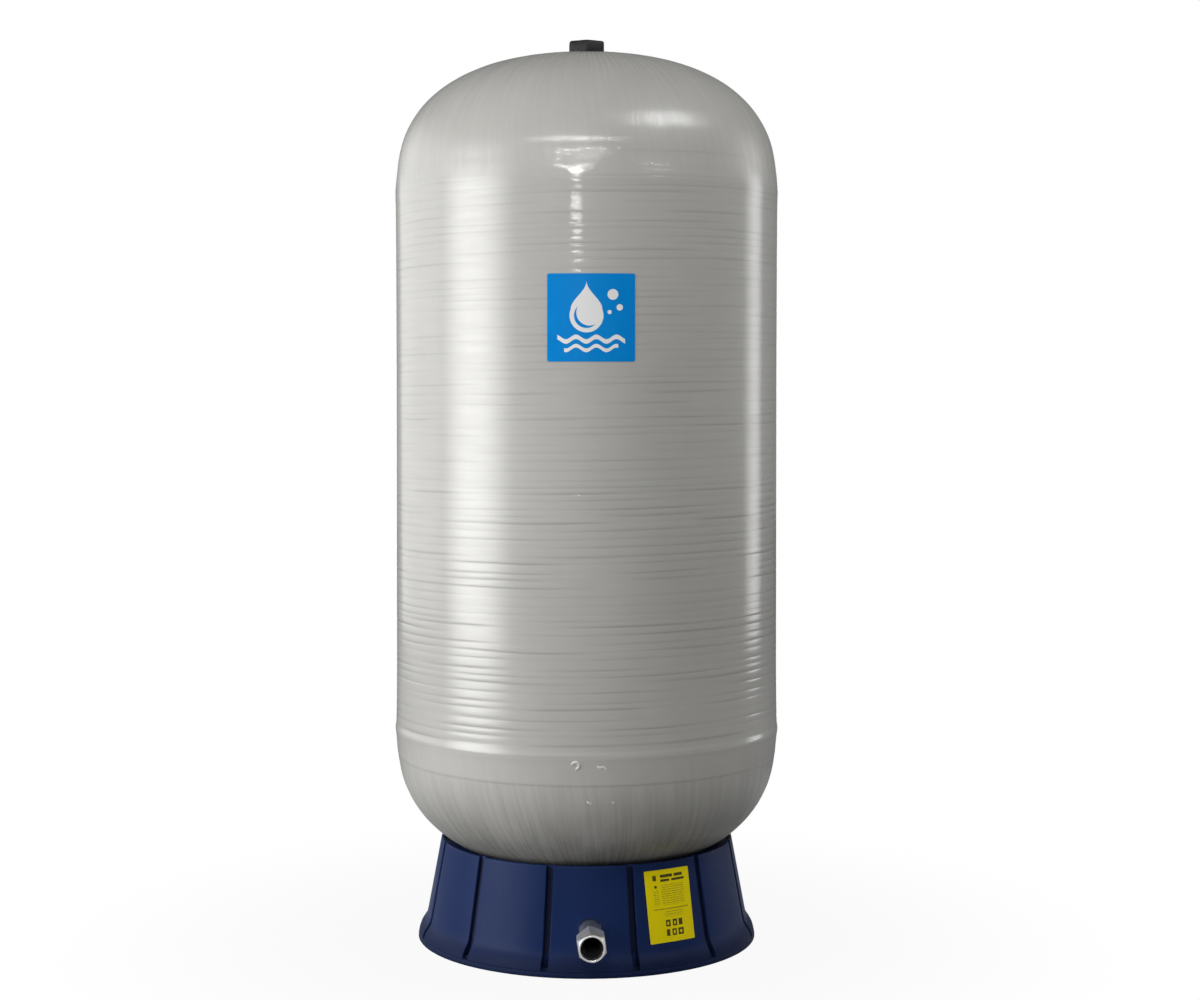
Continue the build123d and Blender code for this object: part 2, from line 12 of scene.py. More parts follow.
import bmesh
import bpy
import numpy as np
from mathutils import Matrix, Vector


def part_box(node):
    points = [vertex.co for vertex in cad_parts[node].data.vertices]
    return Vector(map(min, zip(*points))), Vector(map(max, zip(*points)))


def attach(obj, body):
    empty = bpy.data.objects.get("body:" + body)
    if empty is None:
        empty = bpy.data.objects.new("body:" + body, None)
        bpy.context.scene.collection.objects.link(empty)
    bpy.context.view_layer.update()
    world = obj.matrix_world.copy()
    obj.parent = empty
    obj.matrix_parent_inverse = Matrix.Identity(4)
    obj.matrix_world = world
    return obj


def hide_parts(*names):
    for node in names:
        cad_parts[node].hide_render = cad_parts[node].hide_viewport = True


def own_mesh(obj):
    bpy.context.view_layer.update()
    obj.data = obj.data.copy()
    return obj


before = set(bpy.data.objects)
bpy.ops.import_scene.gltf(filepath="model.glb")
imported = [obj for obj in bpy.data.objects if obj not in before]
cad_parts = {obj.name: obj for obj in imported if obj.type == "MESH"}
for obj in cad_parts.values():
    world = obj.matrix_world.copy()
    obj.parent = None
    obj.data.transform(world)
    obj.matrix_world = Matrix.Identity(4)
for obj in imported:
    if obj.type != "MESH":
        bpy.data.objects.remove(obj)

scene = bpy.context.scene
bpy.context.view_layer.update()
mm = 0.001

# %% [markdown]
# ## The camera
#
# A product picture of a tall object is taken from far away with a longish lens, so that upright edges
# stay nearly upright. We could guess the camera by eye, but four numbers fix it: its distance, its
# height, its turn round the tank, and its tilt. A small lens shift does the rest of the framing.

# %% The camera
camera_distance = 3.489
camera_height = 0.916
camera_turn = math.radians(-1.3)
camera_tilt = math.radians(0.5)
lens = bpy.data.cameras.new("product_camera")
lens.sensor_width = 36.0
lens.lens = 64.8
lens.shift_x = 0.0112
lens.shift_y = -0.0960
camera = bpy.data.objects.new("product_camera", lens)
camera.location = (
    camera_distance * math.sin(camera_turn),
    -camera_distance * math.cos(camera_turn),
    camera_height,
)
camera.rotation_euler = (math.pi / 2 - camera_tilt, 0.0, camera_turn)
scene.collection.objects.link(camera)
scene.camera = camera
scene.view_settings.view_transform = "Standard"
print("The camera stands at", [round(value, 3) for value in camera.location])

# %% [markdown]
# ## Small helpers for materials
#
# Every material here is a small network of nodes. Adding a node takes three lines of code: make it,
# set it, link it. `put` does all three, so the recipes below read like recipes.

# %% Helpers for nodes
def feed(tree, node, sockets):
    """Gives each of a node's inputs, by name or by number, a link or a plain value."""
    for name, value in (sockets or {}).items():
        if isinstance(value, bpy.types.NodeSocket):
            tree.links.new(value, node.inputs[name])
        else:
            node.inputs[name].default_value = value
    return node


def put(tree, kind, settings=None, sockets=None):
    """Adds a node. Settings are its own properties; sockets are its inputs."""
    made = tree.nodes.new("ShaderNode" + kind)
    for name, value in (settings or {}).items():
        setattr(made, name, value)
    return feed(tree, made, sockets)


print("A node can now be made, set and linked in one line")

# %% [markdown]
# A pattern is built from small sums on values and colours. Written out as nodes each of them takes a
# whole line of settings, so the four that we use most get names of their own: a sum, a spread from
# one range to another, a tint by a mask, and a tone laid over what is there.

# %% Helpers for values and colours
def maths(tree, operation, first, second=0.0):
    """One sum on values: the result's socket."""
    return put(tree, "Math", {"operation": operation}, {0: first, 1: second}).outputs[0]


def spread(tree, value, low, high, to_low=0.0, to_high=1.0):
    """Maps a value from one range to another, smoothly, and stops at its ends."""
    made = put(
        tree,
        "MapRange",
        {"interpolation_type": "SMOOTHSTEP"},
        {"Value": value, "From Min": low, "From Max": high, "To Min": to_low, "To Max": to_high},
    )
    return made.outputs["Result"]


def tint(tree, mask, below, above):
    """Mixes two colours by a mask."""
    return put(tree, "Mix", {"data_type": "RGBA"}, {0: mask, 6: below, 7: above}).outputs[2]


def lay(tree, color, mask, amount, tone):
    """Lays a tone over a colour where the mask is, up to an amount."""
    return tint(tree, maths(tree, "MULTIPLY", mask, amount), color, tone)


def rgb(red, green, blue):
    """A colour as a screen shows it, 0 to 255, turned into the linear values that light needs."""
    def linear(value):
        value /= 255.0
        return value / 12.92 if value <= 0.04045 else ((value + 0.055) / 1.055) ** 2.4
    return (linear(red), linear(green), linear(blue), 1.0)


print("The middle grey of a screen is", round(rgb(128, 128, 128)[0], 3), "of white as light")

# %% [markdown]
# A pattern has to know where it is. Ours go by the object's own coordinates, in metres, so they stay
# on the tank wherever the camera stands, and need no unwrapped mesh. Noise gives them their variety.
# It is drawn out into streaks by stretching the place at which it is asked for.

# %% Helpers for places and noise
def object_place(tree):
    """Where a point lies on the object, in metres, as one vector."""
    return put(tree, "TexCoord").outputs["Object"]


def split(tree, vector):
    """A vector's three sockets: X, Y and Z."""
    return put(tree, "SeparateXYZ", None, {0: vector}).outputs


def vectors(tree, operation, first, second=(0.0, 0.0, 0.0)):
    """One sum on vectors: the socket of the vector, or of the number, that it gives."""
    made = put(tree, "VectorMath", {"operation": operation}, {0: first, 1: second})
    return made.outputs["Value" if operation in ("LENGTH", "DOT_PRODUCT") else "Vector"]


def noise(tree, where, scale=1.0, detail=2.0, roughness=0.5):
    """Smooth noise, about a half on average, at a place."""
    sockets = {"Vector": where, "Scale": scale, "Detail": detail, "Roughness": roughness}
    return put(tree, "TexNoise", None, sockets).outputs[0]


print("Patterns go by the object's own coordinates")

# %% [markdown]
# What several materials need goes into a node group: a network with named inputs and outputs that is
# built once. The nodes could be copied into each material instead, but then each mend would have to
# be made in every copy.

# %% Helpers for node groups
def group_tree(name, inputs, outputs):
    """Starts a shader node group with named inputs and outputs, given as (name, type, value)."""
    tree = bpy.data.node_groups.new(name, "ShaderNodeTree")
    for label, kind, value in inputs:
        socket = tree.interface.new_socket(label, in_out="INPUT", socket_type="NodeSocket" + kind)
        socket.default_value = value
    for label, kind in outputs:
        tree.interface.new_socket(label, in_out="OUTPUT", socket_type="NodeSocket" + kind)
    return tree, tree.nodes.new("NodeGroupInput").outputs, tree.nodes.new("NodeGroupOutput").inputs


def place(tree, group, sockets=None):
    """Places a node group in a material, with its own values, and gives its outputs."""
    made = tree.nodes.new("ShaderNodeGroup")
    made.node_tree = group
    return feed(tree, made, sockets).outputs


print("Groups so far:", len(bpy.data.node_groups))

# %% [markdown]
# ## Effects that several finishes share
#
# Moulded plastic, steel and rubber all show the same few things in different strengths: a fine grain,
# edges that handling has rubbed, dust on what faces up, and hairline scratches. Each of these is a
# node group, built once. A group only puts out masks and heights. The shader itself stays in each
# material, where its gloss and colour are easy to find.

# %% Grain: a mottled mask and its height
grain_group, given, result = group_tree(
    "Grain",
    [("Size", "Float", 200.0), ("Stretch", "Vector", (1.0, 1.0, 1.0)), ("Contrast", "Float", 0.5)],
    [("Mask", "Float"), ("Height", "Float")],
)
stretched = vectors(grain_group, "MULTIPLY", object_place(grain_group), given["Stretch"])
speckle = noise(grain_group, stretched, given["Size"], 5.0, 0.62)
half_contrast = maths(grain_group, "MULTIPLY", given["Contrast"], 0.5)
lowest = maths(grain_group, "SUBTRACT", 0.5, half_contrast)
highest = maths(grain_group, "ADD", 0.5, half_contrast)
grain_group.links.new(spread(grain_group, speckle, lowest, highest), result["Mask"])
grain_group.links.new(speckle, result["Height"])
print("Group:", grain_group.name)

# %% [markdown]
# Rubbed edges: the Bevel node gives the direction that a rounded edge would face. Where that differs
# from the surface's own direction there is an edge, whatever the mesh looks like. Broken up with
# noise, it becomes the light line that hands and other goods leave on a moulded corner.

# %% Rubbed edges
edge_group, given, result = group_tree(
    "Rubbed edge",
    [("Width", "Float", 0.002), ("Breaks", "Float", 60.0), ("Amount", "Float", 0.6)],
    [("Mask", "Float")],
)
rounded = put(edge_group, "Bevel", {"samples": 6}, {"Radius": given["Width"]}).outputs[0]
surface_way = put(edge_group, "NewGeometry").outputs["Normal"]
agreement = vectors(edge_group, "DOT_PRODUCT", rounded, surface_way)
edge_band = spread(edge_group, agreement, 0.995, 0.86)
chips = noise(edge_group, object_place(edge_group), given["Breaks"], 4.0)
kept_edge = maths(edge_group, "MULTIPLY", edge_band, spread(edge_group, chips, 0.36, 0.62))
edge_group.links.new(maths(edge_group, "MULTIPLY", kept_edge, given["Amount"]), result["Mask"])
print("Group:", edge_group.name)

# %% [markdown]
# Dust settles on what faces up and leaves upright walls clean. It could be painted on by hand. Here
# the surface's own direction says where it lies, and noise leaves it in patches, so that any piece can
# have it without more work.

# %% Dust on what faces up
dust_group, given, result = group_tree(
    "Dust", [("Amount", "Float", 0.4), ("Patches", "Float", 14.0)], [("Mask", "Float")]
)
facing = split(dust_group, put(dust_group, "NewGeometry").outputs["Normal"])
upward = spread(dust_group, facing["Z"], 0.15, 0.95)
patches = noise(dust_group, object_place(dust_group), given["Patches"], 6.0, 0.7)
settled = maths(dust_group, "MULTIPLY", upward, spread(dust_group, patches, 0.35, 0.75))
dust_group.links.new(maths(dust_group, "MULTIPLY", settled, given["Amount"]), result["Mask"])
print("Group:", dust_group.name)

# %% [markdown]
# Hairline scratches come from things that were dragged along a surface: long, thin and in groups.
# Noise that is stretched a long way in one direction gives the lines, and a second, broader noise says
# where there are any.

# %% Hairline scratches
scratch_group, given, result = group_tree(
    "Scratches",
    [("Stretch", "Vector", (8.0, 8.0, 400.0)), ("Amount", "Float", 0.5)],
    [("Mask", "Float")],
)
along = vectors(scratch_group, "MULTIPLY", object_place(scratch_group), given["Stretch"])
thin = spread(scratch_group, noise(scratch_group, along), 0.63, 0.70)
here_and_there = noise(scratch_group, object_place(scratch_group), 9.0)
grouped = maths(scratch_group, "MULTIPLY", thin, spread(scratch_group, here_and_there, 0.4, 0.7))
scratch_group.links.new(maths(scratch_group, "MULTIPLY", grouped, given["Amount"]), result["Mask"])
print("Group:", scratch_group.name)

# %% [markdown]
# A finish starts the same way each time: a material whose Principled shader gets its plain numbers on
# its own sockets. Only what changes over the surface is linked.

# %% Start a finish
def finish(name, plain):
    """A new material: its tree and its Principled shader, with the plain numbers set."""
    material = bpy.data.materials.new(name)
    material.use_nodes = True
    tree = material.node_tree
    shader = tree.nodes["Principled BSDF"]
    for socket, value in plain.items():
        shader.inputs[socket].default_value = value
    return material, tree, shader


def connect(tree, shader, color, roughness, height, depth):
    """Links what changes over the surface to the shader: colour, roughness and a fine relief."""
    tree.links.new(color, shader.inputs["Base Color"])
    tree.links.new(roughness, shader.inputs["Roughness"])
    bump = put(tree, "Bump", None, {"Strength": 1.0, "Distance": depth, "Height": height})
    tree.links.new(bump.outputs[0], shader.inputs["Normal"])


print("A finish starts with finish() and ends with connect()")

# %% [markdown]
# Moulded plastic and rubber are alike to a shader: two close tones in soft clouds, a fine grain from
# the mould, paler edges where hands have rubbed, and dust on top. Each could have a network of its
# own, but one recipe with different numbers keeps them in one family, as they are on a real tank.

# %% Moulded plastic and rubber
dust_grey = rgb(150, 146, 138)


def moulded(name, low, high, rubbed, gloss, grain_size, grain_depth, dust=0.3, wear=0.6):
    """Moulded plastic or rubber: two close tones, a fine grain, rubbed edges and some dust."""
    material, tree, shader = finish(name, {"IOR": 1.47})
    clouds = place(tree, grain_group, {"Size": 9.0, "Contrast": 0.5})
    grain = place(tree, grain_group, {"Size": grain_size, "Contrast": 0.6})
    edges = place(tree, edge_group, {"Width": 0.0012, "Amount": wear})
    dusty = place(tree, dust_group, {"Amount": dust})
    color = tint(tree, clouds["Mask"], low, high)
    color = tint(tree, edges["Mask"], color, rubbed)
    color = tint(tree, dusty["Mask"], color, dust_grey)
    rough = spread(tree, clouds["Height"], 0.3, 0.7, gloss - 0.06, gloss + 0.08)
    rough = maths(tree, "ADD", rough, maths(tree, "MULTIPLY", dusty["Mask"], 0.3))
    connect(tree, shader, color, rough, grain["Height"], grain_depth)
    return material


print("Dust is a grey of", [round(value, 2) for value in dust_grey[:3]])

# %% [markdown]
# Worked metal carries fine marks that all run one way, left by a lathe or by rollers, and they stretch
# its gloss. Where water has stood it is stained and dull. Again one recipe serves every piece, and the
# marks' direction is one of its numbers.

# %% Worked metal
bright_edge = rgb(225, 226, 228)


def metal(name, low, high, gloss, stretch, depth, stain=None, stain_amount=0.5):
    """Worked metal: fine marks along one way, two tones, and stains where water has stood."""
    material, tree, shader = finish(name, {"Metallic": 1.0})
    marks = place(tree, grain_group, {"Size": 1.0, "Stretch": stretch, "Contrast": 0.6})
    clouds = place(tree, grain_group, {"Size": 30.0, "Contrast": 0.5})
    edges = place(tree, edge_group, {"Width": 0.0006, "Amount": 0.7})
    color = tint(tree, clouds["Mask"], low, high)
    color = tint(tree, edges["Mask"], color, bright_edge)
    rough = spread(tree, marks["Height"], 0.25, 0.75, gloss - 0.08, gloss + 0.12)
    if stain is not None:
        spots = place(tree, grain_group, {"Size": 55.0, "Contrast": 0.25})
        stained = maths(tree, "MULTIPLY", spots["Mask"], stain_amount)
        color = tint(tree, stained, color, stain)
        rough = maths(tree, "ADD", rough, maths(tree, "MULTIPLY", stained, 0.3))
    connect(tree, shader, color, rough, marks["Height"], depth)
    return material


print("A rubbed metal edge is a grey of", [round(value, 2) for value in bright_edge[:3]])

# %% [markdown]
# ## Rings of points: how the turned and wound pieces are made
#
# The vessel, the base and the cap all go round an axis. A lathe (Blender's Screw or Spin) would give a
# perfectly round skin, but the real ones aren't perfect: the winding leaves ridges, the base has
# grooves, the cap is a hexagon. So each is a grid of points, rows along the outline and columns round
# the axis, and NumPy moves every point in or out before the mesh is made.

# %% A closed grid of points becomes a mesh
def grid_mesh(name, points, close_rows=True):
    """Makes a mesh from points[row, column]; columns go all the way round, rows too if they close."""
    rows, columns = points.shape[:2]
    index = np.arange(rows * columns).reshape(rows, columns)
    here = index if close_rows else index[:-1]
    above = np.roll(index, -1, axis=0) if close_rows else index[1:]
    faces = np.stack([here, np.roll(here, -1, axis=1), np.roll(above, -1, axis=1), above], axis=-1)
    mesh = bpy.data.meshes.new(name)
    mesh.from_pydata(points.reshape(-1, 3).tolist(), [], faces.reshape(-1, 4).tolist())
    mesh.validate()
    return mesh


print("A grid of rows and columns becomes one closed mesh")

# %% [markdown]
# A mesh becomes part of the tank in a few steps: it gets its finish, smooth shading that keeps the
# sharp edges, and a body of the imported model to ride on, and the imported nodes that it stands for
# are hidden. Every piece needs all of them, so one helper does them in order.

# %% A mesh becomes a piece of the tank
def add_piece(name, mesh, material, body, replaced, sharp):
    """Puts a mesh in the scene as a piece that rides on a body and may stand for nodes.

    Edges that turn by more than sharp, in degrees, are shown as edges.
    """
    mesh.materials.append(material)
    mesh.shade_smooth()
    mesh.set_sharp_from_angle(angle=math.radians(sharp))
    piece = bpy.data.objects.new(name, mesh)
    scene.collection.objects.link(piece)
    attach(piece, body)
    if replaced:
        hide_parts(*replaced)
    print(name, "has", len(mesh.vertices), "points and", len(mesh.polygons), "faces")
    return piece


# %% [markdown]
# ## The wound vessel
#
# A winding machine lays wet glass fibre over a plastic liner. Some bands run from pole to pole and
# make the two domes; then a hoop layer goes round and round the barrel, and ends in a thick bead at
# each shoulder. One could sculpt the result, or paint it with a bump map. We want the ridges in the
# mesh itself, because they break up the reflections of the lamps, and that is what the eye reads as
# "wound". First comes the outline: a dome, the barrel, a dome.

# %% The vessel's outline
vessel_radius = 305.0 * mm
shoulder_low, shoulder_high = 330.471 * mm, 1202.471 * mm
dome_low, dome_high = 218.0 * mm, 213.0 * mm
dome_fullness = 2.0 / 2.41
opening_low, opening_high = 17.0 * mm, 24.0 * mm
wall = 9.0 * mm
(_, _, shell_bottom), (shell_reach, _, shell_top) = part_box("wound_shell")


def smooth_step(value, low, high):
    """0 below low, 1 above high, and an even curve between."""
    share = np.clip((value - low) / (high - low), 0.0, 1.0)
    return share * share * (3.0 - 2.0 * share)


def dome_curve(radius, height, opening, steps=600):
    """A dome's radii and rises, from its shoulder to the opening at its pole."""
    last = math.acos((opening / radius) ** (1.0 / dome_fullness))
    turn = np.linspace(0.0, last, steps)
    return radius * np.cos(turn) ** dome_fullness, height * np.sin(turn) ** dome_fullness


def flat_land(radii):
    """How far the dome is pressed flat round a polar opening, where a fitting is clamped on it."""
    return 0.66 * mm * (1.0 - smooth_step(radii, 28.0 * mm, 62.0 * mm))


low_radii, low_rise = dome_curve(vessel_radius, dome_low, opening_low)
high_radii, high_rise = dome_curve(vessel_radius, dome_high, opening_high)
outline_r = np.concatenate([low_radii[::-1], high_radii])
outline_z = np.concatenate(
    [
        (shoulder_low - low_rise + flat_land(low_radii))[::-1],
        shoulder_high + high_rise - flat_land(high_radii),
    ]
)
lengths = np.concatenate([[0.0], np.cumsum(np.hypot(np.diff(outline_r), np.diff(outline_z)))])
print("From opening to opening the outline is", round(float(lengths[-1]), 3), "m long")
shell_tall = shell_top - shell_bottom
print("The packed vessel is", round(2.0 * shell_reach, 3), "m across and", round(shell_tall, 3), "m tall")

# %% [markdown]
# The mesh has to be fine enough for its smallest ridge, and no finer. Rows of points lie 1.5 mm apart
# where the hoops are, and 6 mm apart on the smoother domes.

# %% Rows and columns of the vessel
fine_from, fine_to = 283.0 * mm, 1248.0 * mm
length_at = np.interp([fine_from, fine_to], outline_z, lengths)
row_lengths = np.concatenate(
    [
        np.linspace(0.0, length_at[0], 66)[:-1],
        np.linspace(length_at[0], length_at[1], 640)[:-1],
        np.linspace(length_at[1], lengths[-1], 64),
    ]
)
row_r = np.interp(row_lengths, lengths, outline_r)
row_z = np.interp(row_lengths, lengths, outline_z)
way_r, way_z = np.gradient(row_r, row_lengths), np.gradient(row_z, row_lengths)
out_r, out_z = way_z / np.hypot(way_r, way_z), -way_r / np.hypot(way_r, way_z)
columns = 112
turns = np.linspace(0.0, 2.0 * math.pi, columns, endpoint=False)
print(len(row_r), "rows of", columns, "points")

# %% [markdown]
# The hoop layer's thickness changes along the barrel, and on it lie the bands: each turn of fibre is a
# little crowned, with a shallow valley between neighbours. On a real tank they aren't evenly spaced,
# they tilt by about a degree, and every valley fades in and out on its way round. A seeded random
# generator gives the same irregular bands each time the lesson runs.

# %% The hoop layer and its bands
random = np.random.default_rng(21)
hoop_at = np.array([-24.0, -8.0, 0.0, 5.0, 9.0, 14.0, 60.0, 100.0]) * mm + shoulder_low
hoop_rise = np.array([0.0, 0.9, 2.0, 2.7, 2.7, 1.2, 0.5, 0.15]) * mm
upper_at = shoulder_high - np.array([300.0, 110.0, 30.0, 7.0, -5.0, -26.0]) * mm
upper_rise = np.array([0.45, 1.1, 1.7, 2.45, 1.5, 0.0]) * mm
hoop = np.interp(row_z, np.concatenate([hoop_at, upper_at]), np.concatenate([hoop_rise, upper_rise]))
soften = [0.08, 0.14, 0.18, 0.2, 0.18, 0.14, 0.08]
hoop = np.convolve(np.pad(hoop, 3, mode="edge"), soften, mode="valid")


def soft_wave(amount, slowest, fastest):
    """A random smooth wave round the axis, about 0, that meets itself behind."""
    wave = np.zeros(columns)
    for cycles in range(slowest, fastest + 1):
        wave += random.normal() * np.cos(cycles * turns + random.uniform(0.0, 2.0 * math.pi))
    return amount * wave / math.sqrt(fastest - slowest + 1)


tilt_height = 5.0 * mm * np.cos(turns)
wander = soft_wave(1.3 * mm, 1, 4)
high_line = row_z[:, None] - tilt_height[None, :] - wander[None, :]
hoop_from, hoop_to = shoulder_low - 2.0 * mm, shoulder_high + 4.0 * mm
valleys = [hoop_from + 9.0 * mm]
while valleys[-1] < hoop_to - 14.0 * mm:
    valleys.append(valleys[-1] + random.uniform(8.5, 16.0) * mm)
relief = np.zeros((len(row_z), columns))
valley_shade_mask = np.zeros((len(row_z), columns))
for valley, following in zip(valleys, valleys[1:] + [hoop_to]):
    lower_down = 1.0 - 0.35 * smooth_step(valley, 0.55, 1.0)
    strength = random.uniform(0.35, 1.0) * lower_down
    fade = np.clip(0.55 + soft_wave(0.6, 2, 8), 0.0, 1.0)
    width = random.uniform(1.15, 1.7) * mm
    away = high_line - valley - soft_wave(0.5 * mm, 2, 7)[None, :]
    dip = np.exp(-((away / width) ** 2)) * strength * fade[None, :]
    share = np.clip(away / (following - valley), 0.0, 1.0)
    crown = 4.0 * share * (1.0 - share) * np.clip(0.6 + soft_wave(0.45, 1, 5), 0.0, 1.3)[None, :]
    relief += (0.17 * crown * lower_down - 0.38 * dip) * mm
    valley_shade_mask += dip
print(len(valleys), "valleys between the bands")

# %% [markdown]
# Beyond the hoops the pole-to-pole fibre shows as faint ribs that run up the domes on a slight slant.
# They could be sculpted one by one. A sum of waves round the axis gives as many as we like, and as
# each wave meets itself behind, there is no seam. Two more lines go all the way round, where a cut
# layer ends: one under the lower bead, one on the upper shoulder.

# %% Ribs on the domes, and the cut edges
hoop_cover = smooth_step(row_z, shoulder_low - 14.0 * mm, shoulder_low + 10.0 * mm)
hoop_cover = hoop_cover * (1.0 - smooth_step(row_z, shoulder_high - 8.0 * mm, shoulder_high + 22.0 * mm))
relief *= hoop_cover[:, None]
valley_shade_mask *= hoop_cover[:, None]
ribs = np.zeros((len(row_z), columns))
for slant in (-1.0, 1.0):
    for cycles in range(14, 52, 3):
        angle = cycles * (turns[None, :] + slant * (row_z[:, None] - shoulder_low) * 1.6)
        ribs += random.normal() * np.cos(angle + random.uniform(0.0, 2.0 * math.pi))
ribs *= 0.035 * mm * (1.0 - hoop_cover)[:, None] * smooth_step(row_r, 40.0 * mm, 160.0 * mm)[:, None]

lower_cut_height, upper_cut_height = 294.0 * mm, 1234.0 * mm
cut_width = 1.5 * mm
row_height, column_tilt = row_z[:, None], tilt_height[None, :]
cut_line = row_height - lower_cut_height - soft_wave(0.5 * mm, 1, 5)[None, :]
lower_cut = np.exp(-((cut_line / cut_width) ** 2))
cut_step = 1.0 / (1.0 + np.exp(-np.clip(cut_line / (1.0 * mm), -30, 30)))
upper_line = row_height - upper_cut_height - 0.6 * column_tilt - soft_wave(0.6 * mm, 1, 5)[None, :]
upper_fade = np.clip(0.05 + soft_wave(0.35, 1, 5), 0.0, 1.0)
upper_cut = np.exp(-((upper_line / cut_width) ** 2)) * upper_fade[None, :]
bead_line = row_height - (shoulder_low + 1.0 * mm) - 0.5 * column_tilt
bead_fade = np.clip(0.6 + soft_wave(0.4, 1, 9), 0, 1)
under_bead = np.exp(-((bead_line / (2.2 * mm)) ** 2)) * bead_fade[None, :]
relief -= 0.25 * mm * lower_cut + 0.10 * mm * upper_cut
on_lower_half = (row_z < 0.6)[:, None]
relief += 0.35 * mm * (cut_step - 1.0) * (1.0 - hoop_cover)[:, None] * on_lower_half
# Painted shade: this mask darkens the colour along the cut edges and under the lower bead.
cut_shade_mask = np.clip(lower_cut + 0.7 * upper_cut + 0.35 * under_bead, 0.0, 1.0)
print("The relief lies between", round(relief.min() / mm, 2), "and", round(relief.max() / mm, 2), "mm")

# %% [markdown]
# Now every point is pushed out square to the outline, by the hoop layer, the bands and the ribs
# together. The skin could stay open, but the real vessel is a wall with an inside, and an open edge
# would show at its two openings. So an inner wall closes it. The push has an upper limit, which keeps
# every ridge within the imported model's box.

# %% The vessel's skin, closed by its inner wall
most_push = 2.75 * mm
push = np.minimum(hoop[:, None] + relief, most_push) + ribs
ring_r = row_r[:, None] + out_r[:, None] * push
ring_z = row_z[:, None] + out_z[:, None] * push
outer = np.stack([ring_r * np.cos(turns), ring_r * np.sin(turns), ring_z], axis=-1)
lined_low, lined_low_rise = dome_curve(vessel_radius - wall, dome_low - wall, opening_low, 22)
lined_high, lined_high_rise = dome_curve(vessel_radius - wall, dome_high - wall, opening_high, 22)
lining_r = np.concatenate([lined_high[::-1], lined_low])
lining_z = np.concatenate([(shoulder_high + lined_high_rise)[::-1], shoulder_low - lined_low_rise])
inner = np.stack(
    [
        lining_r[:, None] * np.cos(turns),
        lining_r[:, None] * np.sin(turns),
        np.repeat(lining_z[:, None], columns, axis=1),
    ],
    axis=-1,
)
vessel_mesh = grid_mesh("wound_vessel", np.concatenate([outer, inner]))
print("The skin is pushed out by up to", round(float(push.max()) / mm, 2), "mm")

# %% [markdown]
# The finish has to know where the hoops, the valleys and the cut edges are. It could work that out
# from the height again, but the mesh already knows. So each point stores three numbers, and an
# Attribute node reads them in the material.

# %% What each point of the vessel stores
def point_values(mesh, name, values):
    """Stores one number a point, for the material to read with an Attribute node."""
    layer = mesh.attributes.new(name, "FLOAT", "POINT")
    layer.data.foreach_set("value", np.asarray(values, dtype=np.float32).ravel())


def stored(tree, name):
    """The number that each point stores under a name, as a socket."""
    return put(tree, "Attribute", {"attribute_name": name}).outputs["Fac"]


lining_blank = np.zeros(inner.shape[:2])
for name, values in (
    ("valley_shade", np.clip(valley_shade_mask, 0, 1)),
    ("cut_edge_shade", cut_shade_mask),
    ("hoop_cover", np.repeat(hoop_cover[:, None], columns, axis=1)),
):
    point_values(vessel_mesh, name, np.concatenate([values, lining_blank]))
    print("Stored on the vessel:", name, "up to", round(float(values.max()), 2))

# %% [markdown]
# ### The laminate's finish
#
# Cured resin over glass fibre is a warm light grey under a clear glossy skin. The grey isn't even: the
# resin is thicker in places, and the domes show streaks of fibre. Painted shade darkens the valleys
# between bands, the cut edges and the line under the lower bead. The lower dome is darker towards the
# bottom, with grey dirt in patches and painted shade low on its right. The Coat of the Principled
# shader is the clear skin; the layer beneath it stays rougher.

# %% Noise drawn out on a round wall
def level_way_out(tree, spot):
    """The level direction from the tank's axis to a spot, given as X, Y and Z."""
    level = put(tree, "CombineXYZ", None, {0: spot["X"], 1: spot["Y"]}).outputs[0]
    return vectors(tree, "NORMALIZE", level)


def drawn_noise(tree, way_out, height, across, along, detail, roughness=0.5):
    """Noise that changes round the axis as fast as across says, and up the wall as fast as along."""
    drawn = vectors(tree, "MULTIPLY", way_out, (across, across, 0.0))
    rise = put(tree, "CombineXYZ", None, {2: maths(tree, "MULTIPLY", height, along)}).outputs[0]
    return noise(tree, vectors(tree, "ADD", drawn, rise), 1.0, detail, roughness)


def by_cover(tree, cover, on_hoops, on_domes):
    """The first value where hoops cover the wall, the second on the bare domes."""
    return put(tree, "Mix", {"data_type": "FLOAT"}, {0: cover, 2: on_domes, 3: on_hoops}).outputs[0]


print("Streaks run round the hoops and up the domes")

# %% [markdown]
# The fibre shows through the resin in streaks, which follow the way it was wound: round on the
# barrel, and from pole to pole on the domes, at a slight slant. One group draws both kinds and
# chooses by the hoops' cover. It gives a broad set of streaks and a fine one.

# %% Fibre streaks, hoop-wise on the barrel and pole-wise on the domes
fibre_group, given, result = group_tree(
    "Fibre streaks",
    [("Hoop Cover", "Float", 0.0), ("Slant", "Float", 0.5)],
    [("Streaks", "Float"), ("Fine Streaks", "Float")],
)
spot = split(fibre_group, object_place(fibre_group))
slanted = put(
    fibre_group,
    "VectorRotate",
    {"rotation_type": "Z_AXIS"},
    {
        "Vector": level_way_out(fibre_group, spot),
        "Angle": maths(fibre_group, "MULTIPLY", spot["Z"], given["Slant"]),
    },
).outputs[0]
for label, hoop_numbers, dome_numbers in (
    ("Streaks", (3.0, 130.0, 3.0), (38.0, 5.0, 4.0)),
    ("Fine Streaks", (9.0, 900.0, 2.0), (120.0, 14.0, 2.0)),
):
    on_hoops = drawn_noise(fibre_group, slanted, spot["Z"], *hoop_numbers)
    on_domes = drawn_noise(fibre_group, slanted, spot["Z"], *dome_numbers)
    fibre_group.links.new(by_cover(fibre_group, given["Hoop Cover"], on_hoops, on_domes), result[label])
print("Group:", fibre_group.name)
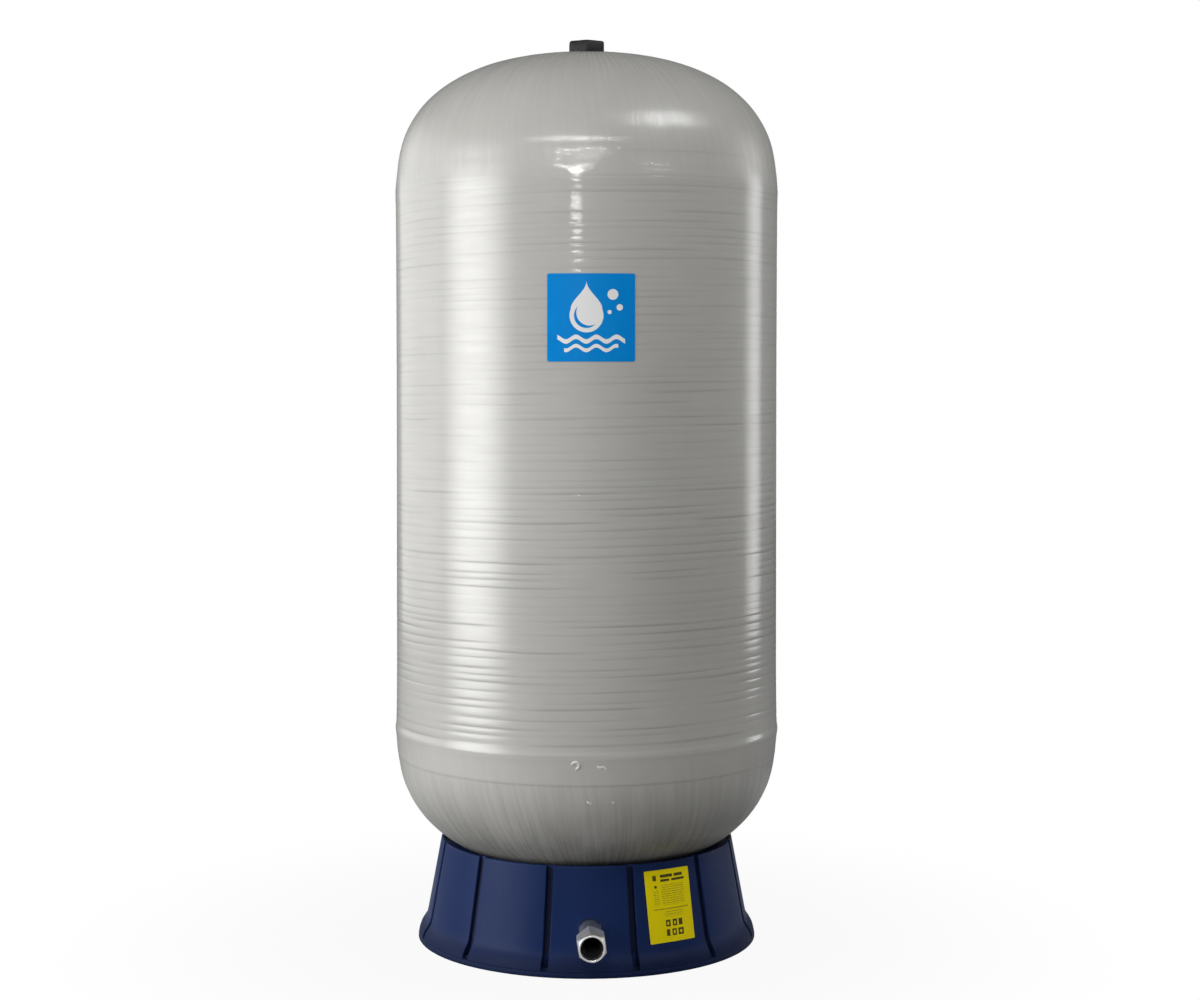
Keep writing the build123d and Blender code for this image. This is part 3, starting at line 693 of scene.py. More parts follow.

# %% [markdown]
# The resin itself is a warm light grey, in slow clouds where the layer is thicker or thinner. Darker
# fibre lies over it, more of it below the lower cut edge where no second layer covers it. A dark line
# laid in each valley, along each cut edge and under the lower bead is painted shade in those creases.
# Each is a tone laid over the one before, as a painter would glaze it.

# %% The laminate's colour
laminate, tree, shader = finish(
    "wound_laminate", {"IOR": 1.5, "Coat Roughness": 0.075, "Coat IOR": 1.5}
)
cover = stored(tree, "hoop_cover")
on_tank = split(tree, object_place(tree))
fibres = place(tree, fibre_group, {"Hoop Cover": cover})
clouds = place(tree, grain_group, {"Size": 4.5, "Stretch": (1.0, 1.0, 0.6), "Contrast": 0.6})
resin = tint(tree, clouds["Mask"], (0.515, 0.509, 0.482, 1.0), (0.575, 0.570, 0.543, 1.0))
below_cut, above_cut = 0.286, 0.300
streaked = spread(tree, fibres["Streaks"], 0.38, 0.62)
streak_strength = spread(tree, on_tank["Z"], below_cut, above_cut, 0.26, 0.07)
resin = lay(tree, resin, streaked, streak_strength, (0.38, 0.374, 0.350, 1.0))
# Painted shade: a dark line in each valley between the bands.
resin = lay(tree, resin, stored(tree, "valley_shade"), 0.45, (0.17, 0.167, 0.157, 1.0))
# Painted shade along the cut edges and under the lower bead.
resin = lay(tree, resin, stored(tree, "cut_edge_shade"), 0.26, (0.16, 0.155, 0.14, 1.0))
print("The resin's colour takes", len(tree.nodes), "nodes")

# %% [markdown]
# The lower dome hangs over a floor that is swept, and water runs down to it, so grey dirt has
# gathered there: most of it right under the vessel, in patches and washed streaks. The colour is also
# darker evenly towards the bottom, and darker still low on the right, which is painted shade as well
# as dirt. It makes the surface duller as well as darker. It could be painted on; masks that go by
# height and by side can be changed by their numbers.

# %% Dirt on the lower dome
grey_dirt_and_shade = (0.15, 0.147, 0.128, 1.0)
low_down = spread(tree, on_tank["Z"], 0.31, 0.15)
grime = place(tree, grain_group, {"Size": 16.0, "Stretch": (1.0, 1.0, 0.4), "Contrast": 0.45})
washed = spread(tree, fibres["Fine Streaks"], 0.40, 0.62)
dirt_and_darkening = maths(tree, "MULTIPLY", grime["Mask"], 0.35)
dirt_and_darkening = maths(tree, "ADD", dirt_and_darkening, maths(tree, "MULTIPLY", washed, 0.22))
# An even darkening towards the bottom, under the patches and streaks.
dirt_and_darkening = maths(tree, "ADD", dirt_and_darkening, 0.34)
resin = lay(tree, resin, low_down, dirt_and_darkening, grey_dirt_and_shade)
# Painted shade, with some dirt: the lower dome is darker still on its right.
to_the_right = spread(tree, on_tank["X"], -0.05, 0.28)
dirt_and_shade_low_right = maths(tree, "MULTIPLY", to_the_right, spread(tree, on_tank["Z"], 0.36, 0.24))
resin = lay(tree, resin, dirt_and_shade_low_right, 0.26, grey_dirt_and_shade)
resin_rough = spread(tree, fibres["Streaks"], 0.3, 0.7, 0.34, 0.50)
resin_rough = maths(tree, "ADD", resin_rough, maths(tree, "MULTIPLY", low_down, 0.2))
print("With its dirt the laminate takes", len(tree.nodes), "nodes")

# %% [markdown]
# Under the clear skin the fibre makes a fine relief, much too fine for the mesh: less than a tenth of
# a millimetre. This is what a bump map is for. It is a little deeper on the domes, where the fibre
# lies bare, than under the hoops.

# %% The fibre's fine relief
fibre_relief = 0.00009
heights = maths(tree, "ADD", fibres["Fine Streaks"], maths(tree, "MULTIPLY", fibres["Streaks"], 1.6))
dome_relief = spread(tree, on_tank["Z"], 0.30, 0.60, 1.6, 1.2)
dome_relief = maths(tree, "MULTIPLY", dome_relief, maths(tree, "SUBTRACT", 1.0, cover))
heights = maths(tree, "MULTIPLY", heights, maths(tree, "MAXIMUM", cover, dome_relief))
connect(tree, shader, resin, resin_rough, heights, fibre_relief)
print("The relief is", fibre_relief / mm, "mm high where its value is 1")

# %% [markdown]
# The clear skin is what mirrors the lamps. On the domes it lies over the fibre in fine flutes, which
# draw every reflection out and fray its edge; on the barrel it is nearly level. Low down it has been
# rubbed away, and here and there the upper dome has a duller streak. The shader's coat is this skin,
# and it has a bump of its own, because it isn't shaped like the layer beneath.

# %% The clear skin
way_out = level_way_out(tree, on_tank)
dome_noise = drawn_noise(tree, way_out, on_tank["Z"], 52.0, 6.0, 5.0, 0.62)
hoop_noise = drawn_noise(tree, way_out, on_tank["Z"], 4.0, 240.0, 4.0, 0.62)
dome_skin = maths(tree, "MULTIPLY", dome_noise, 19.0)
hoop_skin = maths(tree, "MULTIPLY", hoop_noise, 0.75)
skin = by_cover(tree, cover, hoop_skin, dome_skin)
skin_relief = 0.00005
coat_bump = put(tree, "Bump", None, {"Strength": 1.0, "Distance": skin_relief, "Height": skin})
clear = spread(tree, on_tank["Z"], 0.17, 0.35, 0.10, 1.0)
middle_height = 0.8
glossy = maths(tree, "MAXIMUM", cover, spread(tree, dome_noise, 0.42, 0.55, 0.70, 1.0))
glossy = maths(tree, "MAXIMUM", glossy, maths(tree, "LESS_THAN", on_tank["Z"], middle_height))
tree.links.new(maths(tree, "MULTIPLY", clear, glossy), shader.inputs["Coat Weight"])
tree.links.new(coat_bump.outputs[0], shader.inputs["Coat Normal"])
add_piece("wound_vessel", vessel_mesh, laminate, "tank", ["wound_shell"], 60.0)

# %% [markdown]
# Where the wet hoops ended, a few drops of resin ran down and set. They are small, but they catch the
# light. Each is a flattened bead that follows a line of points on the vessel, half sunk in its skin.

# %% Set drops of resin
front_column = int(round(0.75 * columns)) % columns
front_r, front_z = ring_r[:, front_column], ring_z[:, front_column]


def resin_run(line, wide, high):
    """A bead along a line of (degrees from the front, height) on the vessel's skin."""
    steps = np.linspace(0.0, len(line) - 1.0, 8 * len(line))
    degrees = np.interp(steps, range(len(line)), [spot[0] for spot in line])
    heights_on = np.interp(steps, range(len(line)), [spot[1] for spot in line])
    turn = np.radians(degrees)
    radius = np.interp(heights_on, front_z, front_r)
    middle = np.stack([radius * np.sin(turn), -radius * np.cos(turn), heights_on], axis=-1)
    outward = np.stack([np.sin(turn), -np.cos(turn), np.zeros_like(turn)], axis=-1)
    onward = np.gradient(middle, axis=0)
    onward /= np.linalg.norm(onward, axis=1)[:, None]
    sideways = np.cross(outward, onward)
    taper = np.sqrt(np.clip(1.0 - (2.0 * steps / steps[-1] - 1.0) ** 4, 0.0004, 1.0))[:, None, None]
    ring = np.linspace(0.0, 2.0 * math.pi, 14, endpoint=False)[None, :, None]
    bead = wide * np.cos(ring) * sideways[:, None, :] + high * np.sin(ring) * outward[:, None, :]
    return middle[:, None, :] + taper * bead


runs = [
    (
        [(-5.5, 0.3262), (-5.0, 0.3300), (-4.1, 0.3308), (-3.4, 0.3275), (-3.5, 0.3232), (-4.3, 0.3190)],
        2.55,
        1.215,
    ),
    ([(1.5, 0.3245), (2.5, 0.3222), (3.3, 0.3240), (4.4, 0.3188)], 2.04, 0.945),
    ([(-1.2, 0.2716), (-0.5, 0.2690), (0.2, 0.2660)], 1.7, 1.08),
    ([(6.2, 0.2705), (6.6, 0.2668)], 1.53, 0.945),
]
drops = bmesh.new()
for line, wide, high in runs:
    drops.from_mesh(grid_mesh("run", resin_run(line, wide * mm, high * mm), close_rows=False))
bmesh.ops.recalc_face_normals(drops, faces=drops.faces)
drops_mesh = bpy.data.meshes.new("resin_drops")
drops.to_mesh(drops_mesh)
drops.free()
print(len(runs), "runs of resin")

# %% [markdown]
# Resin that set in a drop holds no fibre and no dirt. It is very glossy, and its colour is paler than
# the laminate's, in part a painted highlight for the white that the drops show where they catch the
# light. It could be clear like glass, but over a pale wall a thin drop looks the same as a pale glossy
# one, which renders faster and exports well.

# %% The drops' clear resin
clear_resin, tree, shader = finish("clear_resin", {"IOR": 1.5})
clouds = place(tree, grain_group, {"Size": 60.0, "Contrast": 0.6})
# Partly painted highlight: the drops' colour is paler than the laminate's.
color = tint(tree, clouds["Mask"], (0.70, 0.69, 0.64, 1.0), (0.80, 0.79, 0.75, 1.0))
gloss = spread(tree, clouds["Height"], 0.3, 0.7, 0.10, 0.22)
connect(tree, shader, color, gloss, clouds["Height"], 0.00005)
add_piece("resin_drops", drops_mesh, clear_resin, "tank", (), 60.0)

# %% [markdown]
# ## The moulded base
#
# The base is one injection moulding in satin navy plastic: a cone, a flared lip, and twelve grooves
# that stiffen it. A boolean cut of twelve boxes would leave knife-sharp edges, which plastic never
# has. Instead we work out how deep the surface lies at every angle and height, with rounded groove
# edges, and put more columns of points where the grooves are.

# %% The base's measures
base_height = 160.0 * mm
foot_radius, rim_radius = 271.0 * mm, 233.5 * mm
lip_height, lip_round = 28.0 * mm, 36.6 * mm
base_wall = 5.0 * mm
groove_width, groove_depth, groove_foot = 9.6 * mm, 5.6 * mm, 9.5 * mm
groove_count = 12
cone_foot = foot_radius - lip_round + math.sqrt(lip_round**2 - lip_height**2)
cone_slope = (cone_foot - rim_radius) / (base_height - lip_height)


def cone_at(height):
    """The cone's outer radius at a height."""
    return rim_radius + cone_slope * (base_height - height)


def lip_at(height, inset=0.0):
    """The outer radius at a height: the rounded lip below, the cone above, a soft corner between."""
    rounded_lip = foot_radius - lip_round + np.sqrt(np.maximum((lip_round - inset) ** 2 - height**2, 0.0))
    sharp = np.where(height < lip_height, rounded_lip, cone_at(height) - inset)
    soft = 5.0 * mm * smooth_step(height, 4.0 * mm, 20.0 * mm)
    soft = soft * (1.0 - smooth_step(height, 34.0 * mm, 55.0 * mm))
    apart = rounded_lip - (cone_at(height) - inset)
    return sharp + 0.5 * (np.sqrt(apart**2 + soft**2) - np.abs(apart))


print("The cone leans by", round(math.degrees(math.atan(cone_slope)), 1), "degrees")

# %% [markdown]
# A groove's rounded edges need points close together, and the panels between need hardly any. Even
# steps round the base would spend most of the points where nothing happens, so each panel's columns
# crowd at its groove and thin out beside it.

# %% Columns, closer together at the grooves
half_panel = math.pi / groove_count
groove_steps = np.array([0.0, 1.6, 3.0, 3.8, 4.4, 4.9, 5.4, 6.0, 7.0, 9.0, 13.0, 20.0, 30.0, 45.0]) * mm
middle_radius = 245.0 * mm
groove_angles = groove_steps / middle_radius
panel_angles = np.concatenate([-groove_angles[:0:-1], groove_angles, [half_panel]])
base_turns = np.concatenate(
    [panel_angles + (2 * number + 1) * half_panel - math.pi / 2 for number in range(groove_count)]
)
groove_centres = np.repeat(
    [(2 * number + 1) * half_panel - math.pi / 2 for number in range(groove_count)], len(panel_angles)
)
print(len(base_turns), "columns round the base")

# %% [markdown]
# Each side of the wall is a set of rows at chosen heights. Where a groove is, a row steps in, with a
# soft edge on either side, and inside the base the groove's back stands out by the same amount.
# Inner and outer side differ only in a few numbers, so one helper makes both.

# %% One side of the wall
def base_rows(heights, inset, groove_reach, groove_out, groove_from, groove_to):
    """Rows of points on one side of the wall, stepped in where a groove or its back is."""
    radii = lip_at(heights, inset)[:, None] * np.ones(len(base_turns))[None, :]
    across = np.abs(base_turns - groove_centres)[None, :] * radii
    soft_edge, ramp = 1.1 * mm, 1.5 * mm
    inside = 1.0 - smooth_step(across, groove_reach - soft_edge, groove_reach + soft_edge)
    height = heights[:, None]
    within = smooth_step(height, groove_from - ramp, groove_from + ramp)
    within = within * (1.0 - smooth_step(height, groove_to, groove_to + 1.0 * mm))
    floor = np.minimum(radii - groove_out, cone_at(height) - inset - groove_out)
    radii = radii + (floor - radii) * inside * within
    return np.stack(
        [radii * np.cos(base_turns), radii * np.sin(base_turns), height * np.ones_like(radii)], axis=-1
    )


print("Each groove is", round(groove_width / mm, 1), "mm wide and", round(groove_depth / mm, 1), "mm deep")

# %% [markdown]
# The two sides are joined over a rounded rim and under a rounded foot, so that the rows make one
# closed loop. A Bevel modifier would round the rim as well, but it would find the grooves' edges too.
# A fine crease runs round the lip just over the floor, where the two halves of the mould met.

# %% The base's rows, round the wall's whole section
outer_heights = np.array(
    [1.2, 4, 6.2, 7.2, 7.9, 8.6, 9.4, 10.4, 12, 14.5, 17, 20, 23]
    + [26, 29, 32, 36, 41, 48, 56, 80, 115, 140, 152, 156.5, 158.2]
) * mm
inner_heights = np.array(
    [158.2, 154, 147.2, 146.4, 145.6, 140, 110, 80, 50, 30, 22, 15.2, 14, 12.8, 6, 1.2]
) * mm
crease_height, crease_depth = 7.9 * mm, 0.7 * mm
back_reach = groove_width / 2 + base_wall
back_out, back_from, back_to = 4.0 * mm, 14.0 * mm, 145.9 * mm
wall_across = base_wall * math.hypot(1.0, cone_slope)
outside_rows = base_rows(outer_heights, 0.0, groove_width / 2, groove_depth, groove_foot, base_height)
inside_rows = base_rows(inner_heights, wall_across, back_reach, back_out, back_from, back_to)
in_crease = np.exp(-(((outer_heights - crease_height) / crease_depth) ** 2))
outside_rows[:, :, :2] *= (1.0 - crease_depth * in_crease / foot_radius)[:, None, None]


def edge_row(between, above, share, lift):
    """A row between two others, for a rounded rim or foot."""
    row = between * (1.0 - share) + above * share
    row[:, 2] = lift
    return row


rim = [(0.10, 159.4), (0.28, 159.95), (0.50, 160.0), (0.72, 159.95), (0.90, 159.4)]
foot = [(0.15, 0.3), (0.35, 0.0), (0.65, 0.0), (0.88, 0.3)]
rim_rows = [edge_row(outside_rows[-1], inside_rows[0], share, lift * mm) for share, lift in rim]
foot_rows = [edge_row(inside_rows[-1], outside_rows[0], share, lift * mm) for share, lift in foot]
wall_rows = np.concatenate([outside_rows, np.stack(rim_rows), inside_rows, np.stack(foot_rows)])
base_mesh = grid_mesh("moulded_base", wall_rows)
print(len(wall_rows), "rows round the wall's section")

# %% [markdown]
# The pipe passes through an upright slot, so that it can settle a little higher or lower. This time a
# boolean is right, because the slot's edges are sharp. The cutter is a bar with the slot's outline.
# Blender's cylinder is round, so we make the bar from points of our own.

# %% A cutter for the outlet pipe's hole
(_, _, pipe_low), (_, _, pipe_high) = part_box("outlet_pipe")
pipe_middle = (pipe_low + pipe_high) / 2
pipe_gap, hole_play = 1.0 * mm, 1.0 * mm
hole_radius = (pipe_high - pipe_low) / 2 + pipe_gap


def slot_cutter(radius, play, from_y, to_y, height, sides=64):
    """A closed bar along Y with a slot's outline, taller than wide by its play, as a mesh for cutting."""
    bar = bmesh.new()
    ends = []
    for y in (from_y, to_y):
        ring = []
        for side in range(sides):
            turn = 2 * math.pi * (side + 0.5) / sides
            lift = play / 2 if side < sides / 2 else -play / 2
            at = (radius * math.cos(turn), y, height + lift + radius * math.sin(turn))
            ring.append(bar.verts.new(at))
        ends.append(ring)
    for side in range(sides):
        following = (side + 1) % sides
        bar.faces.new((ends[0][side], ends[0][following], ends[1][following], ends[1][side]))
    bar.faces.new(ends[0][::-1])
    bar.faces.new(ends[1])
    bmesh.ops.recalc_face_normals(bar, faces=bar.faces)
    mesh = bpy.data.meshes.new("cutter")
    bar.to_mesh(mesh)
    bar.free()
    return mesh


print("The hole is", round(2.0 * hole_radius / mm, 1), "mm wide")

# %% [markdown]
# A boolean is a modifier: it shows the cut, but the mesh stays whole until the result is taken. We
# take it at once and throw both helpers away, so that nothing but the cut mesh goes on.

# %% The cut
def cut_with(mesh, cutter_mesh):
    """The mesh with the cutter taken out of it."""
    whole = bpy.data.objects.new("whole", mesh)
    cutter = bpy.data.objects.new("cutter", cutter_mesh)
    scene.collection.objects.link(whole)
    scene.collection.objects.link(cutter)
    boolean = whole.modifiers.new("hole", "BOOLEAN")
    boolean.object = cutter
    boolean.operation = "DIFFERENCE"
    boolean.solver = "EXACT"
    seen = bpy.context.evaluated_depsgraph_get()
    cut = bpy.data.meshes.new_from_object(whole.evaluated_get(seen))
    for thing in (whole, cutter):
        bpy.data.objects.remove(thing)
    return cut


before_wall, behind_wall = -0.30, -0.20
hole_bar = slot_cutter(hole_radius, hole_play, before_wall, behind_wall, pipe_middle)
base_mesh = cut_with(base_mesh, hole_bar)
base_mesh.name = "moulded_base"
print("With its hole the base has", len(base_mesh.polygons), "faces")

# %% [markdown]
# The grooves are darkened in the colour, which is painted shade in the hollows. Blender can find
# hollows by tracing rays, which is slow and noisy. Our grooves are made by a sum, and the same sum says
# how deep each point lies below the panels beside it, for the finish to read.

# %% How deep each point of the base lies
corners = np.zeros(len(base_mesh.vertices) * 3)
base_mesh.vertices.foreach_get("co", corners)
corners = corners.reshape(-1, 3)
below_skin = lip_at(corners[:, 2]) - np.hypot(corners[:, 0], corners[:, 1])
in_groove = smooth_step(below_skin, 0.8 * mm, 3.6 * mm) * (below_skin < groove_depth + 1.5 * mm)
off_the_rims = (corners[:, 2] < 158.0 * mm) * (corners[:, 2] > 8.5 * mm)
point_values(base_mesh, "groove_shade", in_groove * off_the_rims)
print(int((in_groove * off_the_rims > 0.5).sum()), "points lie in a groove")

# %% [markdown]
# ### The base's finish
#
# Satin navy polypropylene: nearly even, with a fine texture from the mould. Its edges have gone paler
# where they were rubbed, there is floor dust on the lip, and a few upright scuffs on the panels. The
# grooves and the foot are darker in the colour, which is painted shade, and the foot is duller too.
# The recipe for mouldings would nearly do, but the scuffs and the painted shade in the grooves and at
# the foot belong to this piece alone, so it gets a network of its own.

# %% Navy plastic
navy, tree, shader = finish("base_navy", {"IOR": 1.49, "Specular IOR Level": 0.15})
clouds = place(tree, grain_group, {"Size": 7.0, "Contrast": 0.6})
grain = place(tree, grain_group, {"Size": 900.0, "Contrast": 0.6})
edges = place(tree, edge_group, {"Width": 0.0025, "Breaks": 35.0, "Amount": 0.30})
dusty = place(tree, dust_group, {"Amount": 0.06, "Patches": 22.0})
scuffs = place(tree, scratch_group, {"Stretch": (260.0, 260.0, 7.0), "Amount": 0.12})
color = tint(tree, clouds["Mask"], (0.0052, 0.0190, 0.088, 1.0), (0.0070, 0.0240, 0.104, 1.0))
color = tint(tree, edges["Mask"], color, (0.050, 0.075, 0.165, 1.0))
color = tint(tree, scuffs["Mask"], color, (0.055, 0.075, 0.145, 1.0))
color = tint(tree, dusty["Mask"], color, (0.13, 0.13, 0.14, 1.0))
# Painted shade: the grooves' floors are darkened almost to black.
color = lay(tree, color, stored(tree, "groove_shade"), 0.80, (0.0012, 0.0025, 0.011, 1.0))
height_on_base = split(tree, object_place(tree))["Z"]
# Painted shade: the colour is darker near the floor, and the same mask makes the foot duller.
foot_shade_and_wear = maths(tree, "MULTIPLY", spread(tree, height_on_base, 0.042, 0.016), 0.6)
color = tint(tree, foot_shade_and_wear, color, (0.0020, 0.0055, 0.026, 1.0))
satin = spread(tree, clouds["Height"], 0.3, 0.7, 0.38, 0.50)
satin = maths(tree, "ADD", satin, maths(tree, "MULTIPLY", foot_shade_and_wear, 0.3))
satin = maths(tree, "ADD", satin, maths(tree, "MULTIPLY", dusty["Mask"], 0.3))
connect(tree, shader, color, satin, grain["Height"], 0.00006)
add_piece("moulded_base", base_mesh, navy, "tank", ["base_skirt"], 50.0)

# %% [markdown]
# ## The air valve's cap
#
# The cap is a black hexagon, moulded with a bore inside and used many times: its top is no longer
# level, and the stub where the plastic entered the mould still stands up beside the middle. A
# six-sided cylinder with a bevel would be quicker, but its flat top has no points that could be
# moved. So rows of points follow the cap from the outside over the top, and up into the bore.

# %% The cap's shape
(_, _, cap_low), (_, _, cap_high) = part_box("air_valve_cap")
cap_flat, cap_corner = 27.8 * mm, 31.4 * mm
cap_columns = 192
cap_turns = np.linspace(0.0, 2.0 * math.pi, cap_columns, endpoint=False)
from_flat = np.abs((cap_turns + math.pi / 6) % (math.pi / 3) - math.pi / 6)
hexagon = cap_flat / np.cos(from_flat)
rounded_hexagon = np.minimum(hexagon, cap_corner)
around = np.stack([np.cos(cap_turns), np.sin(cap_turns)], axis=-1)
cap_face = cap_high - 0.9 * mm


def cap_row(radii, height):
    """One closed row of the cap."""
    level = np.full((cap_columns, 1), height)
    return np.concatenate([around * np.broadcast_to(radii, cap_columns)[:, None], level], axis=1)


top_inset = 3.5
outside = [
    (0.5, cap_low), (0.0, cap_low + 0.6 * mm), (0.0, cap_low + 8.0 * mm), (0.0, cap_face - 3.6 * mm),
    (0.25, cap_face - 2.9 * mm), (1.4, cap_face - 1.5 * mm), (2.6, cap_face - 0.45 * mm),
    (top_inset, cap_face),
]
cap_rows = [cap_row(rounded_hexagon - inset * mm, height) for inset, height in outside]
top_shares = (0.9, 0.8, 0.7, 0.6, 0.5, 0.4, 0.3, 0.2, 0.1, 0.03)
for share in top_shares:
    cap_rows.append(cap_row((rounded_hexagon - top_inset * mm) * share, cap_face))
ceiling, ledge, chamfer_top = 1434.471, 1418.1, 1416.6
bore_inside, bore_mouth = 22.3, 26.3
bore = [
    (1.0, ceiling), (bore_inside, ceiling), (bore_inside, ledge),
    (bore_mouth, ledge), (bore_mouth, chamfer_top), (26.8, cap_low / mm),
]
cap_rows += [cap_row(radius * mm, height * mm) for radius, height in bore]
cap_points = np.stack(cap_rows)
print("The cap is", round((cap_high - cap_low) / mm, 1), "mm tall, in", len(cap_points), "rows")

# %% [markdown]
# The top was level once. Spanners and sun have dished it by up to a millimetre, and the stub of the
# sprue stands up on it. A sculpted dent would do as well; two slow waves and one small hill do it in
# three lines, and can be changed by their numbers.

# %% The cap's worn top and its stub
top_rows = slice(len(outside) - 1, len(outside) + len(top_shares))
top_x, top_y = cap_points[top_rows, :, 0] / mm, cap_points[top_rows, :, 1] / mm
worn = 0.32 * np.sin(top_x * 0.13 + 0.4) + 0.26 * np.sin(top_x * 0.31 - top_y * 0.19) - 0.70
stub = 2.3 * np.exp(-((top_x + 4.6) ** 2 + (top_y + 16.0) ** 2) / 20.0)
cap_points[top_rows, :, 2] += np.minimum(worn + stub, 0.85) * mm
cap_mesh = grid_mesh("valve_cap", cap_points)
middles = bmesh.new()
middles.from_mesh(cap_mesh)
bmesh.ops.remove_doubles(middles, verts=middles.verts, dist=1e-6)
middles.to_mesh(cap_mesh)
middles.free()
cap_black = moulded(
    "cap_black", rgb(20, 19, 21), rgb(33, 31, 34), rgb(62, 60, 62), 0.52, 240.0, 0.00030, 0.06, 0.4
)
add_piece("valve_cap", cap_mesh, cap_black, "cap", ["air_valve_cap"], 40.0)

# %% [markdown]
# ## The outlet's coupling
#
# The coupling is a short length of hexagon bar, chamfered on a lathe and bored through. The chamfer
# meets each corner in a curved, bright facet, the first thing one sees of it. A bevel can't make that
# facet, because it goes round the axis and not along an edge. The smaller of two radii can: the bar's
# and the lathe's. The angle to the tank is whatever the last turn of the spanner left.

# %% The coupling's shape
coupling_turn = math.radians(9.0)
coupling_flat, corner_limit = 20.5 * mm, 23.62 * mm
socket_radius, bore_radius, neck_radius = 16.6 * mm, 13.3 * mm, 16.8 * mm
(_, mouth_y, _), (_, coupling_back, _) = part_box("outlet_coupling")
ring_points = 240
ring_turns = np.linspace(0.0, 2.0 * math.pi, ring_points, endpoint=False)
from_coupling_flat = np.abs((ring_turns - coupling_turn) % (math.pi / 3) - math.pi / 6)
bar_radius = np.minimum(coupling_flat / np.cos(from_coupling_flat), corner_limit)
lathe_limit = [
    (0.0, 18.8), (0.15, 19.2), (0.5, 19.6), (1.1, 19.9), (3.0, 20.5), (6.0, 21.5), (9.0, 22.7),
    (11.5, 23.7), (22.0, 23.7), (34.0, 23.7), (43.4, 23.7), (44.2, 22.6), (44.8, 21.2),
]
ring_way = np.stack([-np.sin(ring_turns), np.zeros(ring_points), np.cos(ring_turns)], axis=-1)


def coupling_row(radii, along):
    """One closed row round the coupling's axis, at a distance behind its mouth."""
    row = ring_way * np.broadcast_to(radii, ring_points)[:, None]
    row[:, 1] = mouth_y + along
    row[:, 2] += pipe_middle
    return row


coupling_rows = [
    coupling_row(np.minimum(bar_radius, limit * mm), along * mm) for along, limit in lathe_limit
]
coupling_rows += [coupling_row(19.8 * mm, 45.0 * mm), coupling_row(neck_radius, 45.0 * mm)]
coupling_rows += [coupling_row(neck_radius, 25.0 * mm), coupling_row(bore_radius, 25.0 * mm)]
coupling_rows += [coupling_row(bore_radius, 22.0 * mm), coupling_row(socket_radius, 22.0 * mm)]
print("The coupling is", round((coupling_back - mouth_y) / mm, 1), "mm long")

# %% [markdown]
# Inside, the real socket is threaded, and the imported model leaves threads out. A stack of plain rings
# would pass at a glance, but a thread climbs, and in the mouth one sees that. So the wall's radius
# follows a V that moves on by one pitch a turn, at eleven turns an inch.

# %% The thread inside the socket
thread_pitch, thread_depth = 2.309 * mm, 0.9 * mm
deepest, nearest = 20.5, 2.2
for along in np.linspace(deepest, nearest, 74) * mm:
    phase = (along / thread_pitch + ring_turns / (2.0 * math.pi)) % 1.0
    ridge = 1.0 - np.abs(2.0 * phase - 1.0)
    fade_in = min(1.0, (along / mm - 1.5) / 3.0)
    coupling_rows.append(coupling_row(socket_radius - thread_depth * ridge * fade_in, along))
mouth = [(16.7, 1.2), (17.1, 0.4), (17.6, 0.1), (18.2, 0.0)]
coupling_rows += [coupling_row(radius * mm, along * mm) for radius, along in mouth]
coupling_mesh = grid_mesh("outlet_socket", np.stack(coupling_rows)[::-1])
print("The thread makes", round((deepest - nearest) * mm / thread_pitch, 1), "turns")

# %% [markdown]
# ### Galvanised steel
#
# Plain steel fittings come with a thin zinc skin: grey, softly brushed by the lathe, and brighter on
# the edges. The face at the mouth was finished last on the lathe and is smoother, and its colour is
# lifted almost to white: a painted highlight. The bore is duller, and its colour is darkened almost to
# black: painted shade. Which is which could be painted; the distances to the axis and to the mouth
# tell it as well.

# %% Steel for the coupling
socket_steel, tree, shader = finish("socket_steel", {"Metallic": 1.0})
marks = place(tree, grain_group, {"Size": 1.0, "Stretch": (60.0, 900.0, 60.0), "Contrast": 0.6})
clouds = place(tree, grain_group, {"Size": 30.0, "Contrast": 0.5})
edges = place(tree, edge_group, {"Width": 0.0007, "Amount": 0.8})
color = tint(tree, clouds["Mask"], rgb(206, 206, 209), rgb(232, 232, 234))
color = tint(tree, edges["Mask"], color, rgb(248, 248, 249))
spot = split(tree, object_place(tree))
above_axis = maths(tree, "SUBTRACT", spot["Z"], pipe_middle)
off_axis = put(tree, "CombineXYZ", None, {0: spot["X"], 2: above_axis}).outputs[0]
bore_edge = 16.95 * mm
in_bore = maths(tree, "LESS_THAN", vectors(tree, "LENGTH", off_axis), bore_edge)
turned = spread(tree, spot["Y"], mouth_y + 7.0 * mm, mouth_y + 2.0 * mm)
dull = spread(tree, marks["Height"], 0.25, 0.75, 0.42, 0.58)
dull = maths(tree, "SUBTRACT", dull, maths(tree, "MULTIPLY", turned, 0.18))
dull = maths(tree, "ADD", dull, maths(tree, "MULTIPLY", in_bore, 0.2))
# Painted highlight: the face at the mouth is lifted almost to white.
color = tint(tree, turned, color, rgb(250, 250, 250))
# Painted shade: the bore's colour is darkened almost to black.
color = lay(tree, color, in_bore, 0.93, rgb(22, 22, 23))
connect(tree, shader, color, dull, marks["Height"], 0.00004)
add_piece("outlet_socket", coupling_mesh, socket_steel, "tank", ["outlet_coupling"], 30.0)

# %% [markdown]
# The bare pipe behind keeps the imported model's shape. Its zinc is a little darker and smoother, and
# on its top, near the coupling, the colour turns a pinkish red. A mesh of our own would look no
# different, so it only gets this finish.

